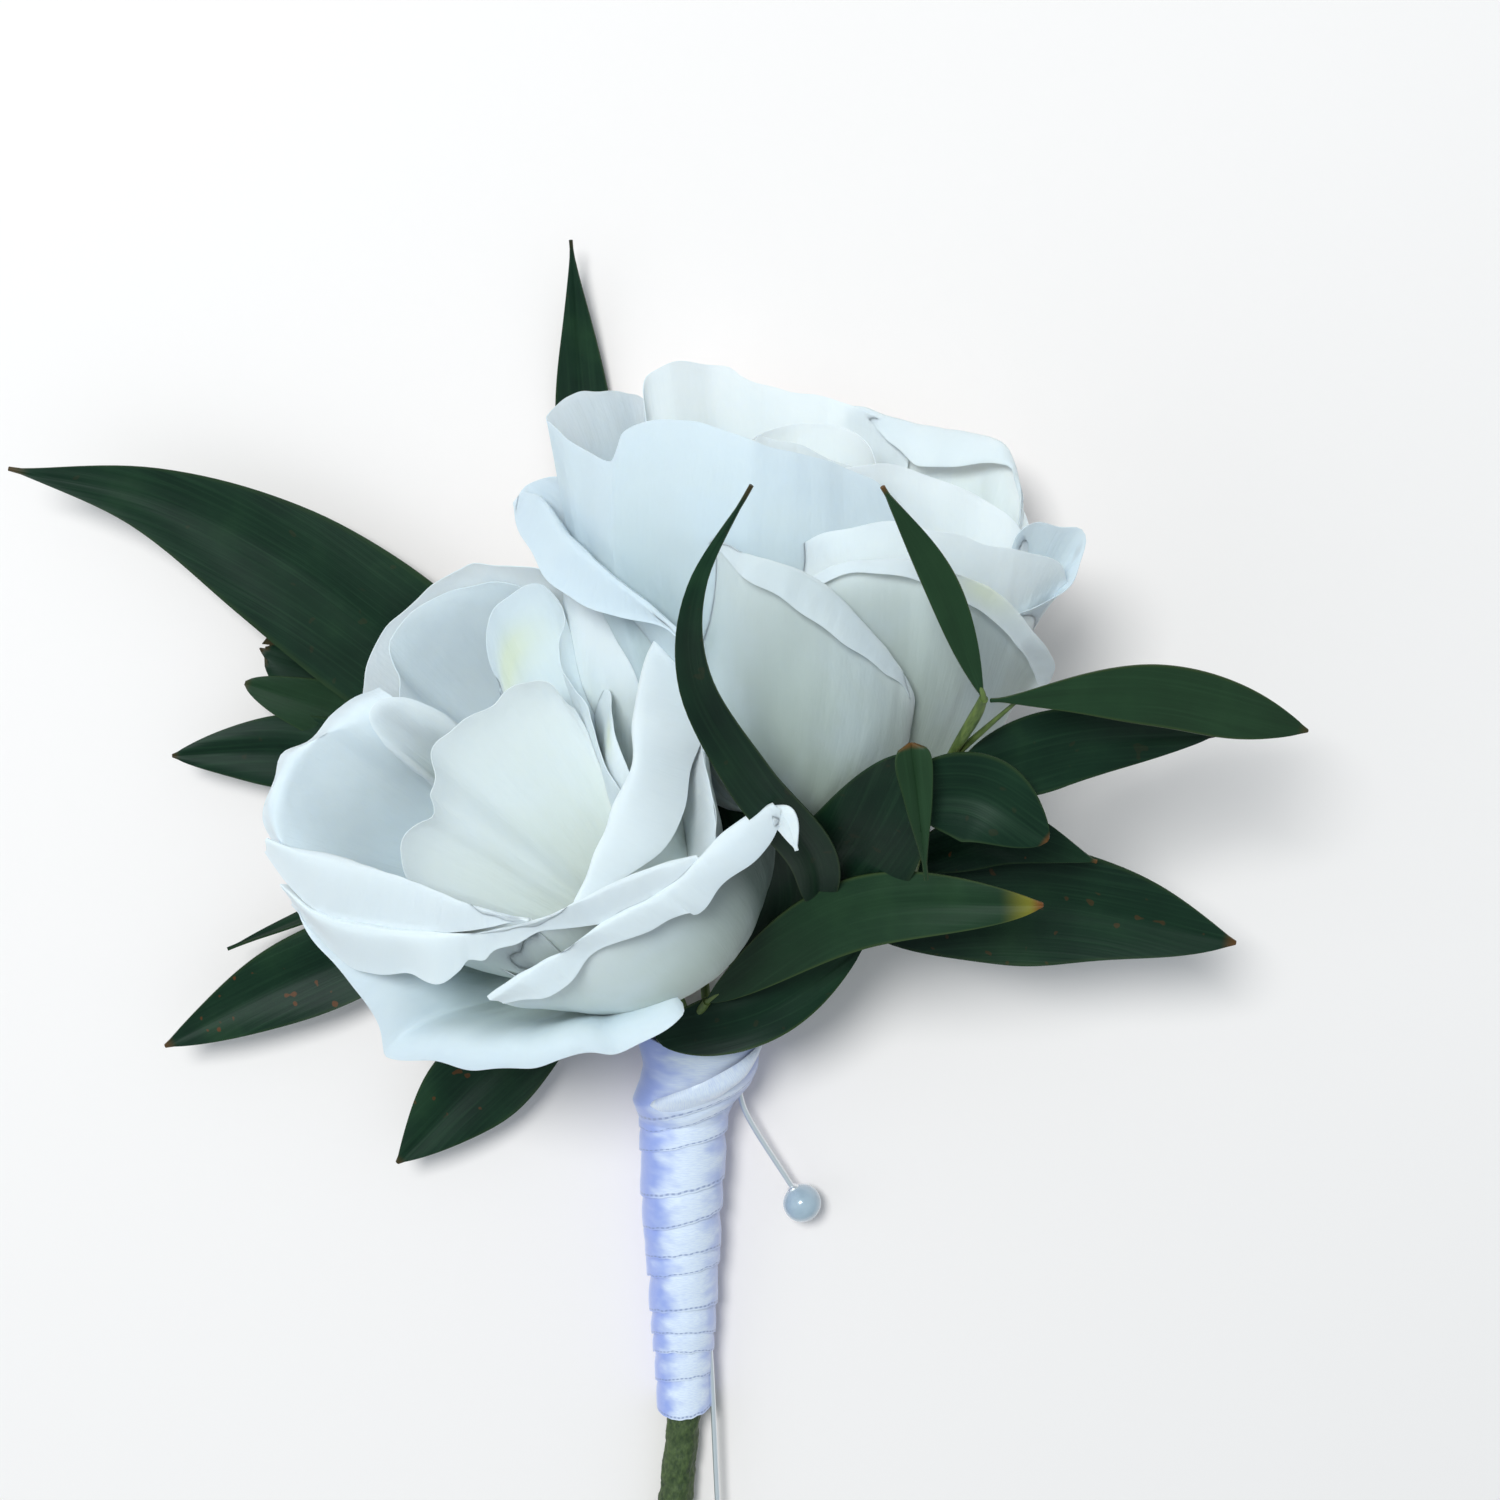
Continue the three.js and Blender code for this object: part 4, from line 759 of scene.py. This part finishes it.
def petal_mark(u, v, edge=None, warm=0, painted_shade=0, lip=0, spot=NOWHERE, speck=NOWHERE, **shape):
    """Warmth (below 0 painted cool shade), yellow spot less speck, and painted shade of the petal."""
    stains = [np.exp(-((u - at[1]) / size[1]) ** 2 - ((v - at[0]) / size[0]) ** 2)
              for at, size in ((spot, SPOT_SIZE), (speck, SPECK_SIZE))]
    # Painted shade on the face, handed over on the roll to the painted shade of `lip`
    rolled = ease((u - ROLL_START) / ROLL_BLEND + 1) if edge else 0
    return across(warm, v), stains[0] - stains[1], across(painted_shade, v) * (1 - rolled) + lip * rolled


def filling(count, radius, grow, height, rise):
    """Plain petals one behind another round the heart of a rose."""
    for n in range(count):
        middle, r, h = GOLDEN_TURN * n, radius + grow * n, height + rise * n
        rim = [(middle + 62 * side, r + 0.8 * side, h - 5 * side * side) for side in (-1, -0.7, 0, 0.7, 1)]
        yield dict(rim=rim, lean=88, belly=0.7 * r, foot=2, step=1.6)


def rose_head(rose, seed, surface):
    pieces = Pieces()
    pieces.tube(in_rose(rose, [(0, 0, h) for h, _ in ROSE_CORE]), [r for _, r in ROSE_CORE], 24, seed)
    for n, spec in enumerate([*rose["petals"], *filling(**rose["filling"])]):
        grid, u, v = petal_grid(seed + 10 * n, **spec)
        wide, tall = lengths(grid[-1])[-1] / 2, lengths(grid[:, grid.shape[1] // 2])[-1]
        thick = np.interp(u, (0, 1), PETAL_THICK)
        pieces.blade(in_rose(rose, grid), thick, (v * wide, u * tall, seed + n),
                     (v, u ** spec.get("fade", 1), 0), petal_mark(u, v, **spec))
    if "strip" in rose:
        line = round_axis(rose["strip"])
        grid, u, v, half = leaf_grid(line, STRIP_WIDE, seed, peak=0.45, fold=0.3, **SMALL_GRID)
        pieces.blade(in_rose(rose, grid), STRIP_THICK, (v * half, u * 4, seed), (v, 0.85, 0))
    pieces.build(rose["name"] + "_bloom", surface, "petal", rose["name"] + "_petals")


def rose_stalk(rose, seed, surface):
    """The stem, the hip under the bloom and the sepals."""
    pieces, hip = Pieces(), rose["hip"]
    heights = np.linspace(HIP_TOP, -hip, 18)
    share = (heights - HIP_TOP) / -(hip + HIP_TOP)
    urn = HIP_NECK + HIP_SWELL * np.sqrt(np.clip(1 - share ** 2.2, 0, 1)) + 0.12 * np.sin(9 * share)
    pieces.tube(in_rose(rose, [(0, 0, h) for h in heights]), urn, 24, seed)
    line = [*in_rose(rose, [(0, 0, -1.5), (0, 0, -hip)]), *rose["stem"], *rooted(rose["socket"])[::-1]]
    along = span(70)
    radii = ROSE_STEM_RADIUS * (1 + 0.05 * ripple(along, 0, seed, 4, 1, 7))
    pieces.tube(catmull(line, along), radii, 14, seed + 1)
    for n in range(SEPALS):
        line = round_axis([(360 * n / SEPALS, radius, height) for radius, height in SEPAL])
        grid, u, v, half = leaf_grid(line, SEPAL_WIDE, seed + n, peak=0.3, fold=0.05, **SMALL_GRID)
        pieces.blade(in_rose(rose, grid), SEPAL_THICK, (v * half, u * 7, seed + n), (v, u, 0))
    pieces.build(rose["name"] + "_stalk", surface, "stem", rose["name"] + "_stem")


# Leaves
def leaf_grid(line, wide, seed, peak=0.4, blunt=1, fold=0.12, roll=0, rows=44, columns=12):
    """A leaf about its midrib `line`: `wide` is its full width, `peak` how far along it is widest, `blunt`
    below 1 rounds its ends, `fold` lifts its two margins and `roll` tips it about the midrib, in degrees."""
    u = span(rows + 1)[:, None]
    v = np.linspace(-1, 1, columns + 1)[None, :]
    rib = catmull(line, u[:, 0])
    along = unit(np.gradient(rib, axis=0))
    side = unit(np.cross((0, 0, 1.0), along))
    lift = np.cross(along, side)
    cos, sin = math.cos(math.radians(roll)), math.sin(math.radians(roll))
    side, lift = side * cos + lift * sin, lift * cos - side * sin
    shift = math.log(0.5) / math.log(peak)
    half = np.maximum(wide / 2 * np.sin(np.pi * u ** shift) ** blunt, LEAF_END / 2)
    reach = half * v * (1 + 0.03 * ripple(u, np.sign(v), seed, 3, 2.5))
    rise = fold * np.abs(reach) + 0.05 * half * ripple(u, v, seed + 1, 3, 1.8)
    rise = rise - MIDRIB_DEPTH * np.exp(-(reach / MIDRIB_WIDTH) ** 2)
    grid = rib[:, None] + side[:, None] * reach[..., None] + lift[:, None] * rise[..., None]
    return grid, u, v, half


def add_leaf(pieces, seed, start=-1, tip=0.6, margin=0.4, tone=-0.1, bite=0, **shape):
    grid, u, v, half = leaf_grid(seed=seed, **shape)
    if bite:
        share = bite * ease((u - BITE_START) / (1 - BITE_START)) * (0.6 + 0.4 * ripple(0, v, seed, 5, 4))
        grid = grid + (grid[BITE_ROW] - grid) * share[..., None]
    long = np.linalg.norm(np.subtract(shape["line"][-1], shape["line"][0]))
    thick = np.interp(np.abs(v), (0, 1), LEAF_THICK)
    pieces.blade(grid, thick, (v * half, u * long, seed), (v, u, 0), (tip, margin, tone))
    return grid


def handle_at(y):
    """The ribbon's radius and middle, the bundle's radius and middle, and the height of both at y."""
    ribbon, middle, bundle, inner = [np.interp(y, HANDLE[:, 0], column) for column in HANDLE.T[1:]]
    return ribbon, middle, bundle, inner, np.maximum(ribbon - BACK_CUT, bundle)


def rooted(socket):
    """The end of a stem inside the bundle, from its foot upwards."""
    dx, dz = socket
    _, _, _, inner, height = handle_at(BUNDLE_TOP)
    return [(inner + dx, BUNDLE_TOP + step, height + dz) for step in (-STEM_DEPTH, -STEM_DEPTH / 2, 1)]


def sprig(spec, seed, leaf_look, twig_look):
    leaves, twigs, name = Pieces(), Pieces(), spec["name"]
    stem = [*rooted(spec["socket"]), *spec["route"], spec["leaves"][0]["line"][0]]
    twigs.tube(catmull(stem, span(60)), np.linspace(*TWIG_RADII, 60), 12, seed)
    for n, leaf in enumerate(spec["leaves"]):
        grid = add_leaf(leaves, seed + n, **leaf)
        inside = grid[STALK_ROW, grid.shape[1] // 2] - (0, 0, STALK_DEPTH)
        route = [spec["route"][leaf.get("start", -1)], leaf["line"][0], inside]
        if np.subtract(route[1], route[0]) @ (inside - route[1]) < 0:
            del route[1]
        twigs.tube(catmull(route, span(24)), np.linspace(*STALK_RADII, 24), 12, seed + n)
    leaves.build(name + "_leaves", leaf_look, "leaf", name)
    twigs.build(name + "_twigs", twig_look, "leaf", name)


# The handle
def wrapped(y, angle, proud):
    """Points on the ribbon, `proud` of its plain surface, flattened where the handle lies on its back."""
    ribbon, middle, _, _, height = handle_at(y)
    z = height + (ribbon + proud) * np.sin(angle)
    return join(middle + (ribbon + proud) * np.cos(angle), y, np.maximum(z, RIBBON_LOWEST))


def ribbon(surface):
    """Turns of ribbon, each lapping over the next with its lower edge standing out, and the twisted fold."""
    pieces = Pieces()
    angle = np.linspace(RIBBON_BREAK - np.pi / 2, 1.5 * np.pi - RIBBON_BREAK, RIBBON_COLUMNS)[None, :]
    v = angle / np.pi - 0.5
    seams = [middle + rise * np.cos(angle) - hang * np.sin(angle) for middle, rise, hang in SEAMS]
    top = RIBBON_TOP - COLLAR_SLANT * np.cos(angle) + 0.25 * ripple(0, v, 7, 3, 3)
    for n, seam in enumerate(seams):
        low = seam + 0.07 * ripple(0, v, 31 + n, 5, 20)
        tall = np.max(top - low)
        u = span(int(tall / RIBBON_STEP) + 4)[:, None]
        y = top + (low - top) * u
        proud = -RIBBON_SINK + (RIBBON_SINK + RIBBON_PROUD) * ease(u * 1.1)
        creases = RIBBON_CREASE * ripple(u * tall / 6, v + 0.12 * u, 50 + n, 5, 4, 1)
        creases = creases * np.sin(np.pi * np.clip(u * 1.3, 0, 1))
        flare = COLLAR_FLARE * ease(1 - u * 2.4) * (n == 0) * (0.3 + 0.7 * np.maximum(np.cos(angle), 0))
        grid = wrapped(y, angle, proud + creases + flare)
        pieces.blade(grid, RIBBON_THICK, (v * 15, -y, n), (v, u, 0))
        top = seam + RIBBON_LAP
    route = evenly(COLLAR_FOLD, 60)
    v = np.linspace(-1, 1, 13)[None, :]
    u = span(len(route))[:, None]
    half = COLLAR_FOLD_WIDTH / 2 * (0.35 + 0.65 * np.sin(np.pi * u)) * (1 - 0.7 * ease((u - 0.8) / 0.2))
    y = route[:, :1] + 0.92 * half * v
    turn = np.radians(route[:, 1:2]) + 0.4 * half * v / 7
    crown = 0.22 - 0.5 * ease((u - 0.86) / 0.14) + route[:, 2:] * np.clip(1 - (v - 0.25) ** 2 / 1.6, 0, 1)
    grid = wrapped(y, turn, crown + 0.12 * ripple(2 * u, v, 77, 5, 1.5))
    # The fold's place round sits in the painted highlight, so it is painted bright with little painted shade
    pieces.blade(grid, RIBBON_THICK, (v * half, u * 20, 40), (0.1 * v - 0.06, 0.5, 0))
    pieces.build("ribbon_turns", surface, "ribbon", "ribbon_wrap")


def tape(surface):
    """The bundle of stems in crinkled tape, wound in a spiral."""
    pieces = Pieces()
    y = np.linspace(BUNDLE_TOP, BUNDLE_END, 260)[:, None]
    angle = np.linspace(0, 2 * np.pi, 72, endpoint=False)[None, :]
    _, _, bundle, inner, height = handle_at(y)
    share = (y - BUNDLE_TOP) / (BUNDLE_END - BUNDLE_TOP)
    turns = np.abs((y / TAPE_PITCH + angle / (2 * np.pi)) % 1 - 0.5)
    coarse = ripple(share * 10, np.sin(angle), 5, 6, 4, 3)
    crinkle = 0.05 * coarse + 0.025 * ripple(share * 24, np.cos(angle), 6, 6, 9, 5)
    radius = bundle - 0.16 + TAPE_STEP * ease(turns * 6 - 0.4) + crinkle + 0.08 * np.sin(4 * angle + y / 6)
    z = np.maximum(height + radius * np.sin(angle), TAPE_LOWEST)
    pieces.skin(join(inner + radius * np.cos(angle), y, z), 3)
    pieces.build("stem_tape", surface, "tape", "taped_stem")


def pin(spec, seed, steel, pearl):
    """A steel shaft with a pearl on its upper end and a point on the other."""
    shaft, head = Pieces(), Pieces()
    centre = np.array(spec["pearl"], float)
    away = unit(np.array(spec["path"][0]) - centre)
    along = span(90)
    line = catmull([centre + away * (PEARL_RADIUS - PEARL_SEAT), *spec["path"]], along)
    shaft.tube(line, PIN_RADIUS * (1 - 0.8 * ease((along - 1) / PIN_POINT + 1)), 16, seed)
    collar = [centre + away * (PEARL_RADIUS + place) for place, _ in PIN_COLLAR]
    shaft.tube(collar, [r for _, r in PIN_COLLAR], 20, seed + 1)
    shaft.build(spec["name"] + "_steel", steel, "steel", spec["name"] + "_shaft")
    turn = np.linspace(0.02, np.pi - 0.02, 40)
    shape = PEARL_RADIUS * (1 - 0.012 * np.cos(2 * turn) + 0.004 * np.sin(7 * turn))
    head.tube([centre - away * r * math.cos(t) for r, t in zip(shape, turn)], shape * np.sin(turn), 56, seed)
    head.build(spec["name"] + "_bead", pearl, "pearl", spec["name"] + "_pearl")


# The floor, the lights and the camera
def stage():
    mesh = bpy.data.meshes.new("floor")
    half, z = FLOOR_HALF, FLOOR_HEIGHT
    corners = [(-half, -half, z), (half, -half, z), (half, half, z), (-half, half, z)]
    mesh.from_pydata(corners, [], [(0, 1, 2, 3)])
    mesh.materials.append(Surface("floor", Roughness=0.9).paint(FLOOR_COLOUR))
    put("floor", mesh)


def lights():
    world = bpy.data.worlds.new("soft_sky")
    world.use_nodes = True
    sky = world.node_tree.nodes["Background"].inputs
    sky["Color"].default_value, sky["Strength"].default_value = SKY_COLOUR, SKY_STRENGTH
    bpy.context.scene.world = world
    bpy.context.scene.view_settings.view_transform = "Standard"
    for name, place, size, watts, colour in LIGHTS:
        data = bpy.data.lights.new(name, "AREA")
        data.shape, data.size, data.energy, data.color = "DISK", size, watts, colour
        lamp = put(name, data)
        lamp.location = place
        lamp.rotation_euler = (Vector(place) - LIGHT_TARGET).to_track_quat("Z", "Y").to_euler()


def camera():
    data = bpy.data.cameras.new("camera")
    data.sensor_width = SENSOR_WIDTH
    data.lens = SENSOR_WIDTH * VIEW_DISTANCE / (VIEW_PIXEL * VIEW_WIDTH)
    data.clip_start = 0.01
    back = np.array([0, math.sin(VIEW_LEAN), math.cos(VIEW_LEAN)])
    eye = put("camera", data)
    place = Matrix.Translation((VIEW_TARGET + VIEW_DISTANCE * back) * MM)
    eye.matrix_world = place @ Matrix.Rotation(-VIEW_LEAN, 4, "X")
    bpy.context.scene.camera = eye


camera()
petal, leaf, twig, stalk = petal_surface(), leaf_surface(), plain_surface("twig"), plain_surface("rose_stem")
rose_head(LEFT_ROSE, 100, petal)
rose_head(RIGHT_ROSE, 400, petal)
rose_stalk(LEFT_ROSE, 700, stalk)
rose_stalk(RIGHT_ROSE, 720, stalk)
for number, spec in enumerate(SPRIGS):
    sprig(spec, 20 * number + 1, leaf, twig)
tape(plain_surface("tape"))
ribbon(ribbon_surface())
steel, pearl = plain_surface("pin_steel"), plain_surface("pearl")
for number, spec in enumerate(PINS):
    pin(spec, 800 + 10 * number, steel, pearl)
stage()
lights()
